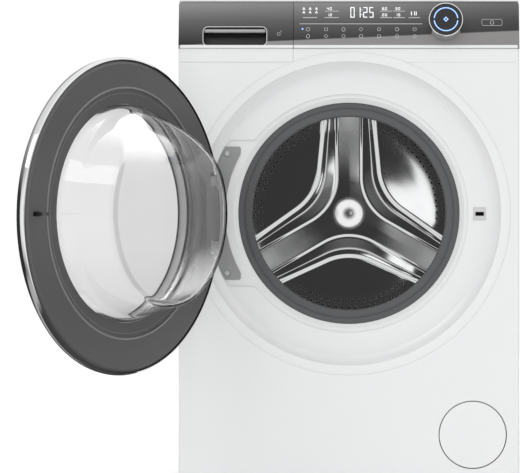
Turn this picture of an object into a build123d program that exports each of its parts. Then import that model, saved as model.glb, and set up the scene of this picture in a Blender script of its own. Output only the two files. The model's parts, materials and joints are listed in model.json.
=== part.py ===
import os
from math import atan2, cos, radians, sin, sqrt, tan

from build123d import *

os.makedirs("parts", exist_ok=True)

# Cabinet, in millimetres: origin on the floor under the middle of the cabinet, front towards -Y
WIDTH = 595.0
HEIGHT = 850.0
DEPTH = 530.0
SHEET = 1.2
BASE_Z = 16.0
BASE_WALL = 4.0
BASE_RIM = 40.0
WORKTOP_THICK = 16.0
WORKTOP_LIP = 4.0
PANEL_RETURN = 14.0
PANEL_EDGE_R = 6.0
SEAM = 1.0
FLANGE = 14.0
FIT = 0.2
RUN = 0.3
RUNNING = 0.08
PRESS = 0.05

# Control strip: tilted face over the front panel, with the drawer at its left end
BAND = 88.0
TRIM_H = 7.0
STRIP_H = 23.5
DRAWER_W = 200.5
PANEL_TOP = HEIGHT - BAND
TRIM_TOP = PANEL_TOP + TRIM_H
STRIP_Z = PANEL_TOP - STRIP_H
DRAWER_EDGE = DRAWER_W - WIDTH / 2
FASCIA_TILT = 9.5
FASCIA_DEPTH = 38.0
FASCIA_WALL = 2.5
FASCIA_GAP = 0.4
FASCIA_TOP_GAP = 1.4
CORNER_R = 4.0
STRIP_WALL = 2.5

# Drawer pull pocket, dial, power key and the board behind them
POCKET_IN = 98.5
POCKET_X = POCKET_IN - WIDTH / 2
POCKET_W = 110.0
POCKET_UP = 15.0
POCKET_Z = TRIM_TOP + POCKET_UP
POCKET_H = 32.0
POCKET_R = 8.0
POCKET_DEPTH = 22.0
POCKET_WALL = 2.0
DIAL_IN = 128.9
DIAL_UP = 39.5
DIAL_X = WIDTH / 2 - DIAL_IN
DIAL_Z = TRIM_TOP + DIAL_UP
DIAL_R = 32.2
DIAL_TAPER = 2.2
DIAL_EDGE = 1.7
DIAL_H = 21.5
DIAL_LIFT = 0.5
DIAL_COLLAR = 3.0
DIAL_SEAT = 4.0
DIAL_CROWN = 0.8
DIAL_SHAFT_R = 3.0
DIAL_BOSS = 3.0
KEY_IN = 47.5
KEY_UP = 39.5
KEY_X = WIDTH / 2 - KEY_IN
KEY_Z = TRIM_TOP + KEY_UP
KEY_W = 36.6
KEY_H = 12.2
KEY_R = 3.5
KEY_PROUD = 0.4
KEY_THICK = 5.0
KEY_STEM_R = 2.0
KEY_TRAVEL = 1.0
BOARD_DEPTH = 14.0
BOARD_THICK = 1.6
BOARD_H = 50.0
BOARD_EDGE = 8.0
BOARD_UP = 39.0
BOARD_BOSS_R = 3.5
BOARD_BOSS_EDGE = 17.5
BOARD_BOSS_SPAN = 18.0
CHIP_W = 120.0
CHIP_H = 26.0
CHIP_THICK = 5.0
CHIP_X = 20.0

# Round door recess and the drum axis
RIM_EDGE = 17.5
RIM_TOP = 7.0
BAND_W = 14.0
BAND_DROP = 4.0
BAND_BULGE = 4.6
FLOOR_W = 16.0
PAD_W = 39.0
RIM_R = WIDTH / 2 - RIM_EDGE
AXIS_Z = PANEL_TOP - RIM_R - RIM_TOP
BAND_R = RIM_R - BAND_W
FLOOR_R = BAND_R - FLOOR_W
FLOOR_DEPTH = 24.0
PAD_DEPTH = 27.0
PAD_HALF = 130.0
PAD_CORNER = 16.0
PAD_RING_R = FLOOR_R - PAD_W
MOUTH_W = 7.0
MOUTH_R = PAD_RING_R - MOUTH_W
LIP_W = 9.0
LIP_R = MOUTH_R - LIP_W
LIP_SLOPE = 7.0
LIP_DEPTH = 42.0
LOCK_IN = 20.4
LOCK_DROP = 1.0
LOCK_X = FLOOR_R - LOCK_IN
LOCK_Z = AXIS_Z - LOCK_DROP
LOCK_FACE = 22.0
LOCK_HALF_W = 16.0
LOCK_HALF_H = 40.0
LOCK_DEEP = 38.0
SLOT_W = 15.0
SLOT_H = 7.0

# Service flap and drain pump
FLAP_EDGE = 81.5
FLAP_X = WIDTH / 2 - FLAP_EDGE
FLAP_Z = 88.5
FLAP_R = 58.0
FLAP_GAP = 1.6
FLAP_THICK = 2.5
FLAP_HINGE_OUT = 9.0
FLAP_HINGE_DEPTH = 5.0
NECK_LOOP = 12.0
NECK = 2.5
BAY_R = FLAP_R + 6.0
BAY_WALL = 2.0
BAY_DEPTH = 28.0
CHAMBER_R = 30.0
CHAMBER_WALL = 4.0
CHAMBER_END = 122.0
VOLUTE_R = CHAMBER_R + 10.0
VOLUTE_END = CHAMBER_END + 30.0
PUMP_MOTOR_R = 32.0
PUMP_MOTOR_END = VOLUTE_END + 60.0
HOSE_R = 20.0
HOSE_WALL = 3.3
HOSE_BEND = 30.0
HOSE_GRIP = 14.0
PIPE_R = 11.0
PIPE_WALL = 3.0
PIPE_RISE = 61.5
PIPE_BEND = 18.0
PIPE_Z = FLAP_Z + PIPE_RISE
SPIGOT_WALL = 3.0
SPIGOT_OUT = 25.0

# Door, built standing open about a vertical hinge in front of the panel
DOOR_OPEN = 122.0
FRAME_GAP = 25.5
FRAME_R = RIM_R - FRAME_GAP
HINGE_INSET = 8.0
HINGE_X = HINGE_INSET - FRAME_R
HINGE_DEPTH = -15.0
DOOR_FACE_DEPTH = 10.0
RING_DROP = 5.0
TRIM_BULGE = 4.5
TRIM_R = FRAME_R + TRIM_BULGE
TRIM_WALL = 2.5
GASKET_LIP = 25.0
GASKET_R = LIP_R - GASKET_LIP
BOWL_R = GASKET_R + 7.5
STEP_W = 25.5
STEP_R = BOWL_R + STEP_W
BOWL_TAPER = 27.5
BOWL_END_R = BOWL_R - BOWL_TAPER
BOWL_DEPTH = 91.0
BROW_R = 128.0
BROW_UP = 40.0
BROW_TURN = 48.0
BROW_RUN = 56.0
GLASS = 5.0
DOOR_THICK = 36.0
DOOR_WALL = 3.0
OUTER_R = FRAME_R - 6.5
OUTER_EDGE = 18.0
BACK_BEND = 28.0
DOME_R = OUTER_R - BACK_BEND
WINDOW_R = BOWL_R - 5.5
FLANGE_W = 12.0
FLANGE_R = BOWL_R + FLANGE_W
COLLAR_END = 14.0
KNUCKLE_Z = 60.0
KNUCKLE_H = 20.0
KNUCKLE_R = 5.0
PIN_R = 3.0
ARM = 5.0
HOOK_REACH = 20.0
HOOK_Z = LOCK_Z - AXIS_Z
HOOK_THICK = 5.0
HINGE_SCREW_X = -PAD_RING_R - 2.6
HINGE_SCREW_Z = 105.0
HINGE_SCREW_R = 2.4

# Tub and drum, by depth behind the front panel
TUB_FRONT = 72.0
TUB_SIDE = 35.5
TUB_R = WIDTH / 2 - TUB_SIDE
TUB_WALL = 4.0
TUB_SPLIT = 240.0
TUB_FLANGE = 8.0
TUB_TAIL = 89.0
TUB_BACK = DEPTH - TUB_TAIL
COLLAR_R = LIP_R + 5.0
COLLAR_FRONT = 52.0
GASKET_FRONT = 34.0
GASKET_WALL = 3.0
DRUM_GAP = 17.0
DRUM_R = TUB_R - DRUM_GAP
DRUM_SHEET = 1.5
DRUM_FRONT = 88.0
DRUM_TAIL = 41.0
DRUM_BACK = TUB_BACK - DRUM_TAIL
DRUM_MOUTH_R = GASKET_R + 8.0
RELIEF = 8.0
CHANNEL = 3.0
HUB_R = 28.0
HUB_H = 9.0
HOLE_R = 2.5
HOLE_EDGE = 61.0
HOLE_ROW = 13.0
LIFTER_H = 45.0
LIFTER_W = 66.0
LIFTER_END = 21.0
BOSS_R = 44.0
BOSS_OUT = 37.0
BOSS_BACK = TUB_BACK + BOSS_OUT
SHAFT_R = 15.0
SHAFT_REAR_R = 12.4
SHAFT_END_R = 9.0
BEARING_FRONT_R = 31.0
BEARING_REAR_R = 26.0
BEARING_W = 16.0
SPIDER_R = 34.0
SPIDER_H = 26.5
SPIDER_ARM = 34.0
SPIDER_THICK = 14.0
ROTOR_R = 130.0
ROTOR_WALL = 9.0
ROTOR_BACK = BOSS_BACK + 10.0
STATOR_R = ROTOR_R - 13.0
STATOR_CORE_R = 80.0

# Suspension, feet and services
SPRING_SIDE = 72.5
SPRING_X = WIDTH / 2 - SPRING_SIDE
SPRING_BEHIND = 37.0
TRAY_LONG = 275.0
SPRING_DEPTH = FASCIA_DEPTH + TRAY_LONG + SPRING_BEHIND
SPRING_SEAT = 30.8
SPRING_Z = AXIS_Z + sqrt(TUB_R**2 - SPRING_X**2) + SPRING_SEAT
HANG_DROP = 42.0
HANG_Z = HEIGHT - WORKTOP_THICK - HANG_DROP
SPRING_H = HANG_Z - SPRING_Z
SPRING_R = 10.5
WIRE_R = 1.6
SPRING_PITCH = 9.0
SPRING_CAP = 6.0
DAMPER_X = 150.0
DAMPER_DEPTH = 262.0
DAMPER_DROP = 23.0
ROD_R = 6.0
ROD_OUT = 50.0
DAMPER_R = 15.0
DAMPER_TOP = AXIS_Z - TUB_R - DAMPER_DROP
FOOT_SIDE = 42.5
FOOT_X = WIDTH / 2 - FOOT_SIDE
FOOT_INSET = 48.0
FOOT_H = 7.0
STUD_R = 5.0
STUD_UP = 28.0
PAD_R = 19.0
SERVICE_DROP = 65.0
INLET_X = 155.0
INLET_Z = HEIGHT - SERVICE_DROP
INLET_R = 13.2
INLET_OUT = 16.0
GLAND_SIDE = 97.5
GLAND_X = GLAND_SIDE - WIDTH / 2
GLAND_Z = HEIGHT - SERVICE_DROP
GLAND_R = 10.0
LEAD_R = 4.0
COVER_R = 180.0
COVER_LAP = 14.0
COVER_STEP = 6.0
ACCESS_R = COVER_R - COVER_LAP
SCREW_R = 1.8
SCREW_HEAD = 2.5

FRONT = -DEPTH / 2
BACK = DEPTH / 2
WORKTOP_Z = HEIGHT - WORKTOP_THICK
SECTION = Plane.XY.offset(AXIS_Z)
DRUM_AXIS = Axis((0, 0, AXIS_Z), (0, 1, 0))
SIDE_FRONT = PANEL_RETURN + SEAM


def at(depth):
    return FRONT + depth


def front_plane(depth):
    return Plane.XZ.offset(-at(depth))


def block(x0, x1, d0, d1, z0, z1, mode=Mode.ADD):
    """Square block between two widths, two depths and two heights."""
    with BuildSketch(Plane.XY.offset(z0)) as foot:
        with Locations(((x0 + x1) / 2, at((d0 + d1) / 2))):
            Rectangle(abs(x1 - x0), abs(d1 - d0))
    extrude(foot.sketch, amount=z1 - z0, mode=mode)


def tube(outer, inner, d0, d1, x=0.0, z=AXIS_Z, mode=Mode.ADD):
    """Round bar or ring along the depth of the machine."""
    with BuildSketch(front_plane(d1)) as ring:
        with Locations((x, z)):
            Circle(outer)
            if inner:
                Circle(inner, mode=Mode.SUBTRACT)
    extrude(ring.sketch, amount=d1 - d0, mode=mode)


def post(outer, inner, x, depth, z0, z1, mode=Mode.ADD):
    """Upright round bar or ring."""
    with BuildSketch(Plane.XY.offset(z0)) as ring:
        with Locations((x, at(depth))):
            Circle(outer)
            if inner:
                Circle(inner, mode=Mode.SUBTRACT)
    extrude(ring.sketch, amount=z1 - z0, mode=mode)


def turned(points, mode=Mode.ADD):
    """Body of revolution about the drum axis from radius and depth points."""
    with BuildSketch(SECTION) as profile:
        with BuildLine():
            Polyline(*[(r, at(d)) for r, d in points], close=True)
        make_face()
    revolve(profile.sketch, axis=DRUM_AXIS, mode=mode)


def save(builder, name):
    builder.part.label = name
    export_step(builder.part, f"parts/{name}.step")


# Sheet metal sides with spring hangers
def side_panel(side):
    wall = side * (WIDTH / 2 - SHEET)
    face = side * WIDTH / 2
    turn = side * (WIDTH / 2 - FLANGE)
    rear = DEPTH - SHEET
    shoulder = FASCIA_DEPTH + SEAM
    with BuildPart() as panel:
        block(wall, face, SIDE_FRONT, rear, BASE_Z, PANEL_TOP - SEAM)
        block(turn, face, SIDE_FRONT, SIDE_FRONT + SHEET, BASE_Z, PANEL_TOP - SEAM)
        block(wall, face, shoulder, rear, PANEL_TOP - SEAM, WORKTOP_Z)
        block(turn, face, rear - SHEET, rear, BASE_Z, WORKTOP_Z)
        hang = HANG_Z
        tip = side * (SPRING_X - SPRING_R - 8)
        block(tip, face - side * SHEET / 2, SPRING_DEPTH - 22, SPRING_DEPTH + 22, hang, hang + 3)
    return panel


left_side_panel = side_panel(-1)
right_side_panel = side_panel(1)
save(left_side_panel, "left_side_panel")
save(right_side_panel, "right_side_panel")

# Rear panel with the service openings, and its round cover
with BuildPart() as rear_panel:
    block(-WIDTH / 2 + 4, WIDTH / 2 - 4, DEPTH - SHEET, DEPTH, BASE_Z + 4, WORKTOP_Z - 2)
    tube(ACCESS_R, 0, DEPTH - 2 * SHEET, DEPTH + SHEET, mode=Mode.SUBTRACT)
    tube(INLET_R + 0.8, 0, DEPTH - 2 * SHEET, DEPTH + SHEET, INLET_X, INLET_Z, Mode.SUBTRACT)
    tube(GLAND_R + FIT, 0, DEPTH - 2 * SHEET, DEPTH + SHEET, GLAND_X, GLAND_Z, Mode.SUBTRACT)
    tube(PIPE_R + FIT, 0, DEPTH - 2 * SHEET, DEPTH + SHEET, FLAP_X, PIPE_Z, Mode.SUBTRACT)
    with BuildSketch(front_plane(DEPTH + SHEET)):
        with Locations((0, AXIS_Z)):
            with PolarLocations((COVER_R + ACCESS_R) / 2, 6, start_angle=30):
                Circle(SCREW_R + FIT)
    extrude(amount=3 * SHEET, mode=Mode.SUBTRACT)
save(rear_panel, "rear_panel")

with BuildPart() as rear_access_cover:
    step = ACCESS_R - COVER_STEP
    pan = DEPTH - COVER_STEP
    turned([(COVER_R, DEPTH), (step, DEPTH), (step - COVER_STEP, pan), (0, pan), (0, pan + SHEET),
            (step - COVER_STEP, pan + SHEET), (step, DEPTH + SHEET), (COVER_R, DEPTH + SHEET)])
    with BuildSketch(front_plane(DEPTH + 2 * SHEET)):
        with Locations((0, AXIS_Z)):
            with PolarLocations((COVER_R + ACCESS_R) / 2, 6, start_angle=30):
                Circle(SCREW_R + FIT)
    extrude(amount=3 * SHEET, mode=Mode.SUBTRACT)
save(rear_access_cover, "rear_access_cover")

# Worktop board with a thin lip over the control strip
with BuildPart() as worktop:
    rear_edge = FASCIA_DEPTH + 7
    block(-WIDTH / 2, WIDTH / 2, rear_edge, DEPTH, WORKTOP_Z, HEIGHT)
    block(-WIDTH / 2, WIDTH / 2, PANEL_RETURN, rear_edge, HEIGHT - WORKTOP_LIP, HEIGHT)
    fillet(worktop.edges().group_by(Axis.Z)[-1], radius=1.5)
save(worktop, "worktop")

# Front panel: flanged sheet with the stepped door recess, hinge pad, mouth and service hole
with BuildPart() as front_panel:
    with BuildSketch(front_plane(0)):
        with BuildLine():
            Polyline((-WIDTH / 2, BASE_Z), (WIDTH / 2, BASE_Z), (WIDTH / 2, PANEL_TOP),
                     (DRAWER_EDGE, PANEL_TOP), (DRAWER_EDGE, STRIP_Z), (-WIDTH / 2, STRIP_Z), close=True)
        make_face()
    extrude(amount=-PANEL_RETURN)
    upright = front_panel.edges().filter_by(Axis.Z).group_by(Axis.Y)[0]
    fillet([edge for edge in upright if abs(edge.center().X) > WIDTH / 2 - 1], radius=PANEL_EDGE_R)
    offset(amount=-SHEET, openings=front_panel.faces().sort_by(Axis.Y)[-1], kind=Kind.INTERSECTION)
    tube(RIM_R, 0, -1, PANEL_RETURN + 1, mode=Mode.SUBTRACT)
    with BuildSketch(SECTION):
        with BuildLine():
            Polyline((RIM_R + 0.5, at(0)), (RIM_R, at(0)), (BAND_R, at(BAND_DROP)))
            ThreePointArc((BAND_R, at(BAND_DROP)), (BAND_R - BAND_BULGE, at(0.62 * FLOOR_DEPTH)),
                          (FLOOR_R, at(FLOOR_DEPTH)))
            Polyline((FLOOR_R, at(FLOOR_DEPTH)), (MOUTH_R, at(FLOOR_DEPTH)),
                     (MOUTH_R, at(FLOOR_DEPTH + SHEET)), (FLOOR_R + SHEET, at(FLOOR_DEPTH + SHEET)))
            ThreePointArc((FLOOR_R + SHEET, at(FLOOR_DEPTH + SHEET)),
                          (BAND_R - BAND_BULGE + SHEET, at(0.62 * FLOOR_DEPTH + SHEET)),
                          (BAND_R + SHEET, at(BAND_DROP + SHEET)))
            Polyline((BAND_R + SHEET, at(BAND_DROP + SHEET)), (RIM_R + 0.5, at(SHEET)),
                     (RIM_R + 0.5, at(0)))
        make_face()
    revolve(axis=DRUM_AXIS)
    with BuildSketch(front_plane(FLOOR_DEPTH)) as pad:
        with Locations((0, AXIS_Z)):
            Circle(PAD_RING_R)
        with Locations((-FLOOR_R / 2, AXIS_Z)):
            Rectangle(FLOOR_R, 2 * PAD_HALF)
        with Locations((0, AXIS_Z)):
            Circle(FLOOR_R - 1, mode=Mode.INTERSECT)
        fillet(pad.vertices().sort_by(Axis.X)[:4], radius=PAD_CORNER)
    extrude(amount=-(PAD_DEPTH - FLOOR_DEPTH + SHEET))
    with BuildSketch(front_plane(FLOOR_DEPTH - 1)) as sunk:
        with Locations((0, AXIS_Z)):
            Circle(PAD_RING_R - SHEET)
        with Locations((-FLOOR_R / 2, AXIS_Z)):
            Rectangle(FLOOR_R, 2 * (PAD_HALF - SHEET))
        with Locations((0, AXIS_Z)):
            Circle(FLOOR_R - 1 - SHEET, mode=Mode.INTERSECT)
        fillet(sunk.vertices().sort_by(Axis.X)[:4], radius=PAD_CORNER - 1)
    extrude(amount=-(PAD_DEPTH - FLOOR_DEPTH + 1), mode=Mode.SUBTRACT)
    tube(MOUTH_R, 0, 0, PAD_DEPTH + 10, mode=Mode.SUBTRACT)
    turned([(MOUTH_R + 1, PAD_DEPTH), (MOUTH_R - 1, PAD_DEPTH), (LIP_R, PAD_DEPTH + LIP_SLOPE),
            (LIP_R, LIP_DEPTH), (LIP_R + SHEET, LIP_DEPTH), (LIP_R + SHEET, PAD_DEPTH + LIP_SLOPE + SHEET),
            (MOUTH_R, PAD_DEPTH + SHEET), (MOUTH_R + 1, PAD_DEPTH + SHEET)])
    with BuildSketch(front_plane(FLOOR_DEPTH - 2)):
        with Locations((LOCK_X, LOCK_Z)):
            Rectangle(LOCK_FACE + 2 * FIT, LOCK_FACE + 2 * FIT)
        with Locations((FLAP_X, FLAP_Z)):
            Circle(FLAP_R + FLAP_GAP)
        with Locations((HINGE_SCREW_X, AXIS_Z + HINGE_SCREW_Z), (HINGE_SCREW_X, AXIS_Z - HINGE_SCREW_Z)):
            Circle(HINGE_SCREW_R + FIT)
    extrude(amount=-8, mode=Mode.SUBTRACT)
    tube(FLAP_R + FLAP_GAP, 0, -1, 2 * SHEET, FLAP_X, FLAP_Z, Mode.SUBTRACT)
save(front_panel, "front_panel")

# Base tray with foot bosses, damper seats and the pump saddle
with BuildPart() as base_tray:
    half = WIDTH / 2 - SHEET - FIT
    rear = DEPTH - 2 * SHEET - FIT
    block(-half, half, SIDE_FRONT + SHEET + FIT, rear, BASE_Z, BASE_Z + BASE_RIM)
    block(-half + BASE_WALL, half - BASE_WALL, SIDE_FRONT + SHEET + FIT + BASE_WALL, rear - BASE_WALL,
          BASE_Z + BASE_WALL, BASE_Z + BASE_RIM + 1, mode=Mode.SUBTRACT)
    for x in (-FOOT_X, FOOT_X):
        for depth in (FOOT_INSET, DEPTH - FOOT_INSET):
            post(STUD_R + 6, 0, x, depth, BASE_Z, BASE_Z + STUD_UP + BASE_WALL)
    for x in (-DAMPER_X, DAMPER_X):
        post(DAMPER_R + 4, 0, x, DAMPER_DEPTH, BASE_Z, BASE_Z + 12)
        post(DAMPER_R + FIT, 0, x, DAMPER_DEPTH, BASE_Z + BASE_WALL, BASE_Z + 12, mode=Mode.SUBTRACT)
    block(FLAP_X - 26, FLAP_X + 26, 60, 90, BASE_Z, FLAP_Z - HOSE_R - 2)
    tube(CHAMBER_R + FIT, 0, 50, 100, FLAP_X, FLAP_Z, Mode.SUBTRACT)
    tube(BAY_R + BAY_WALL + 1, 0, 0, BAY_DEPTH + 2, FLAP_X, FLAP_Z, Mode.SUBTRACT)
    for x in (-FOOT_X, FOOT_X):
        for depth in (FOOT_INSET, DEPTH - FOOT_INSET):
            post(STUD_R + RUNNING, 0, x, depth, BASE_Z - 1, BASE_Z + STUD_UP + BASE_WALL + 1,
                 mode=Mode.SUBTRACT)
save(base_tray, "base_tray")

# Levelling feet: pad, nut and stud turned in one
def levelling_foot(x, depth):
    with BuildPart() as foot:
        post(PAD_R, 0, x, depth, 0, FOOT_H)
        fillet(foot.edges().group_by(Axis.Z)[-1], radius=2)
        with BuildSketch(Plane.XY.offset(FOOT_H)) as nut:
            with Locations((x, at(depth))):
                RegularPolygon(2 * STUD_R, 6)
        extrude(nut.sketch, amount=BASE_Z - FOOT_H - RUN)
        post(STUD_R, 0, x, depth, FOOT_H, BASE_Z + STUD_UP)
    return foot


foot_front_left = levelling_foot(-FOOT_X, FOOT_INSET)
foot_front_right = levelling_foot(FOOT_X, FOOT_INSET)
foot_rear_left = levelling_foot(-FOOT_X, DEPTH - FOOT_INSET)
foot_rear_right = levelling_foot(FOOT_X, DEPTH - FOOT_INSET)
save(foot_front_left, "foot_front_left")
save(foot_front_right, "foot_front_right")
save(foot_rear_left, "foot_rear_left")
save(foot_rear_right, "foot_rear_right")

# Control strip: one tilted section, cut into the fixed fascia and the drawer front
TILT = radians(FASCIA_TILT)
FASCIA_LOW = PANEL_TOP + FASCIA_GAP
FASCIA_HIGH = HEIGHT - WORKTOP_LIP - FASCIA_TOP_GAP
FACE = Plane(origin=(0, FRONT, TRIM_TOP), x_dir=(1, 0, 0), z_dir=(0, -cos(TILT), sin(TILT)))


BOARD_LEFT = DRAWER_EDGE + FASCIA_WALL + BOARD_EDGE + 7.5
BOARD_RIGHT = WIDTH / 2 - BOARD_EDGE
BOARD_Z = TRIM_TOP + BOARD_UP
BOSS_LEFT = BOARD_LEFT + 9.0
BOSS_RIGHT = WIDTH / 2 - BOARD_BOSS_EDGE


def up_face(z):
    return (z - TRIM_TOP) / cos(TILT)


def strip_body(x0, x1):
    """Hollow length of the control strip, open at the back."""
    with BuildSketch(Plane.YZ.offset(x0)) as side:
        with BuildLine():
            Polyline((at(-(TRIM_TOP - FASCIA_LOW) * tan(TILT)), FASCIA_LOW),
                     (at((FASCIA_HIGH - TRIM_TOP) * tan(TILT)), FASCIA_HIGH),
                     (at(FASCIA_DEPTH), FASCIA_HIGH), (at(FASCIA_DEPTH), FASCIA_LOW), close=True)
        make_face()
    extrude(side.sketch, amount=x1 - x0)


with BuildPart() as fascia:
    strip_body(DRAWER_EDGE + FASCIA_GAP, WIDTH / 2)
    corner = fascia.edges().filter_by(Axis.Y).group_by(Axis.Z)[-1].sort_by(Axis.X)[-1]
    fillet(corner, radius=CORNER_R)
    offset(amount=-FASCIA_WALL, openings=fascia.faces().sort_by(Axis.Y)[-1], kind=Kind.INTERSECTION)
    with BuildSketch(FACE.offset(-FASCIA_WALL + 0.2)):
        with Locations(((BOSS_LEFT + BOSS_RIGHT) / 2, up_face(BOARD_Z))):
            with GridLocations(BOSS_RIGHT - BOSS_LEFT, 2 * BOARD_BOSS_SPAN, 2, 2):
                Circle(BOARD_BOSS_R)
        with Locations((DIAL_X, up_face(DIAL_Z))):
            Circle(DIAL_SHAFT_R + DIAL_BOSS)
    extrude(amount=-(BOARD_DEPTH - FASCIA_WALL + 0.2))
    with BuildSketch(FACE.offset(1)):
        with Locations((DIAL_X, up_face(DIAL_Z))):
            Circle(DIAL_SHAFT_R + RUNNING)
        with Locations((KEY_X, up_face(KEY_Z))):
            RectangleRounded(KEY_W + 2 * RUN, KEY_H + 2 * RUN, KEY_R + RUN)
    extrude(amount=-BOARD_DEPTH - 1.2, mode=Mode.SUBTRACT)
save(fascia, "fascia")

with BuildPart() as control_board:
    with BuildSketch(FACE.offset(-BOARD_DEPTH)):
        with Locations(((BOARD_LEFT + BOARD_RIGHT) / 2, up_face(BOARD_Z))):
            Rectangle(BOARD_RIGHT - BOARD_LEFT, BOARD_H)
    extrude(amount=-BOARD_THICK)
    with BuildSketch(FACE.offset(-BOARD_DEPTH - BOARD_THICK)):
        with Locations((CHIP_X, up_face(BOARD_Z))):
            Rectangle(CHIP_W, CHIP_H)
        with Locations((DIAL_X, up_face(DIAL_Z))):
            Rectangle(16, 16)
    extrude(amount=-CHIP_THICK)
save(control_board, "control_board")

# Selector dial: bright tapered skirt on its shaft, dark cap set into it
DIAL = Plane(origin=FACE.from_local_coords((DIAL_X, up_face(DIAL_Z), 0)), x_dir=FACE.x_dir, z_dir=FACE.z_dir)
DIAL_SIDE = Plane(origin=DIAL.origin, x_dir=(1, 0, 0), z_dir=(0, -sin(TILT), -cos(TILT)))
DIAL_AXIS = Axis(DIAL.origin, DIAL.z_dir)
DIAL_TOP_R = DIAL_R - DIAL_TAPER
DIAL_CAP_R = DIAL_TOP_R - DIAL_EDGE
SEAT = DIAL_H - DIAL_SEAT
with BuildPart() as dial_skirt:
    with BuildSketch(DIAL_SIDE):
        with BuildLine():
            Polyline((0, -BOARD_DEPTH + 1), (DIAL_SHAFT_R, -BOARD_DEPTH + 1), (DIAL_SHAFT_R, DIAL_LIFT),
                     (DIAL_R, DIAL_LIFT), (DIAL_R, DIAL_LIFT + DIAL_COLLAR), (DIAL_TOP_R, DIAL_H - 1),
                     (DIAL_TOP_R - 0.5, DIAL_H), (DIAL_CAP_R + PRESS, DIAL_H), (DIAL_CAP_R + PRESS, SEAT),
                     (0, SEAT), close=True)
        make_face()
    revolve(axis=DIAL_AXIS)
save(dial_skirt, "dial_skirt")

with BuildPart() as dial_cap:
    with BuildSketch(DIAL_SIDE):
        with BuildLine():
            Polyline((DIAL_CAP_R, DIAL_H), (DIAL_CAP_R, SEAT), (0, SEAT), (0, DIAL_H + DIAL_CROWN))
            ThreePointArc((0, DIAL_H + DIAL_CROWN), (DIAL_CAP_R / 2, DIAL_H + 0.75 * DIAL_CROWN),
                          (DIAL_CAP_R, DIAL_H))
        make_face()
    revolve(axis=DIAL_AXIS)
save(dial_cap, "dial_cap")

with BuildPart() as power_key:
    with BuildSketch(FACE.offset(KEY_PROUD)):
        with Locations((KEY_X, up_face(KEY_Z))):
            RectangleRounded(KEY_W, KEY_H, KEY_R)
    extrude(amount=-KEY_PROUD - KEY_THICK)
    with BuildSketch(FACE):
        with Locations((KEY_X, up_face(KEY_Z))):
            Circle(KEY_STEM_R)
    extrude(amount=-(BOARD_DEPTH - KEY_TRAVEL - 0.2))
save(power_key, "power_key")

# Dispenser drawer: dark front with its pull pocket, pale strip under it, tray behind
with BuildPart() as drawer_front:
    strip_body(-WIDTH / 2, DRAWER_EDGE - FASCIA_GAP)
    corner = drawer_front.edges().filter_by(Axis.Y).group_by(Axis.Z)[-1].sort_by(Axis.X)[0]
    fillet(corner, radius=CORNER_R)
    offset(amount=-FASCIA_WALL, openings=drawer_front.faces().sort_by(Axis.Y)[-1], kind=Kind.INTERSECTION)
    with BuildSketch(FACE.offset(-0.5)):
        with Locations((POCKET_X, up_face(POCKET_Z))):
            RectangleRounded(POCKET_W + 2 * POCKET_WALL, POCKET_H + 2 * POCKET_WALL, POCKET_R + POCKET_WALL)
    extrude(amount=-(POCKET_DEPTH + POCKET_WALL))
    with BuildSketch(FACE.offset(1)):
        with Locations((POCKET_X, up_face(POCKET_Z))):
            RectangleRounded(POCKET_W, POCKET_H, POCKET_R)
    extrude(amount=-(POCKET_DEPTH + 1), mode=Mode.SUBTRACT)
    block(-WIDTH, 0, -20, FASCIA_DEPTH + 20, FASCIA_LOW - 20, FASCIA_LOW, mode=Mode.SUBTRACT)
save(drawer_front, "drawer_front")

with BuildPart() as drawer_strip:
    block(-WIDTH / 2, DRAWER_EDGE - FASCIA_GAP, 0, PANEL_RETURN, STRIP_Z + FASCIA_GAP, FASCIA_LOW)
    upright = drawer_strip.edges().filter_by(Axis.Z).group_by(Axis.Y)[0].sort_by(Axis.X)[0]
    fillet(upright, radius=PANEL_EDGE_R)
    offset(amount=-STRIP_WALL, openings=drawer_strip.faces().sort_by(Axis.Y)[-1], kind=Kind.INTERSECTION)
save(drawer_strip, "drawer_strip")

TRAY_SIDE = 15.0
TRAY_INSIDE = 12.5
TRAY_DROP = 14.0
TRAY_H = 64.0
TRAY_LEFT = -WIDTH / 2 + TRAY_SIDE
TRAY_RIGHT = DRAWER_EDGE - TRAY_INSIDE
TRAY_Z = PANEL_TOP - TRAY_DROP
TRAY_TOP = TRAY_Z + TRAY_H
SPOUT_R = 16.0
SPOUT_BACK = 14.0
TRAY_WALL = 2.2
TRAY_WASH = 76.0
TRAY_PRE = 44.0
HOUSING_WALL = 2.5
with BuildPart() as drawer_tray:
    rear = FASCIA_DEPTH + TRAY_LONG
    block(TRAY_LEFT, TRAY_RIGHT, FASCIA_DEPTH, rear, TRAY_Z, TRAY_TOP)
    fillet(drawer_tray.edges().filter_by(Axis.Z), radius=4)
    block(TRAY_LEFT + TRAY_WALL, TRAY_RIGHT - TRAY_WALL, FASCIA_DEPTH + TRAY_WALL, rear - TRAY_WALL,
          TRAY_Z + TRAY_WALL, TRAY_TOP + 1, mode=Mode.SUBTRACT)
save(drawer_tray, "drawer_tray")

with BuildPart() as drawer_dividers:
    inner = FASCIA_DEPTH + TRAY_WALL
    rear = FASCIA_DEPTH + TRAY_LONG - TRAY_WALL
    first = TRAY_LEFT + TRAY_WALL + TRAY_WASH
    second = first + TRAY_WALL + TRAY_PRE
    for x in (first, second):
        block(x, x + TRAY_WALL, inner, rear, TRAY_Z + TRAY_WALL, TRAY_TOP)
save(drawer_dividers, "drawer_dividers")

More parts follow.
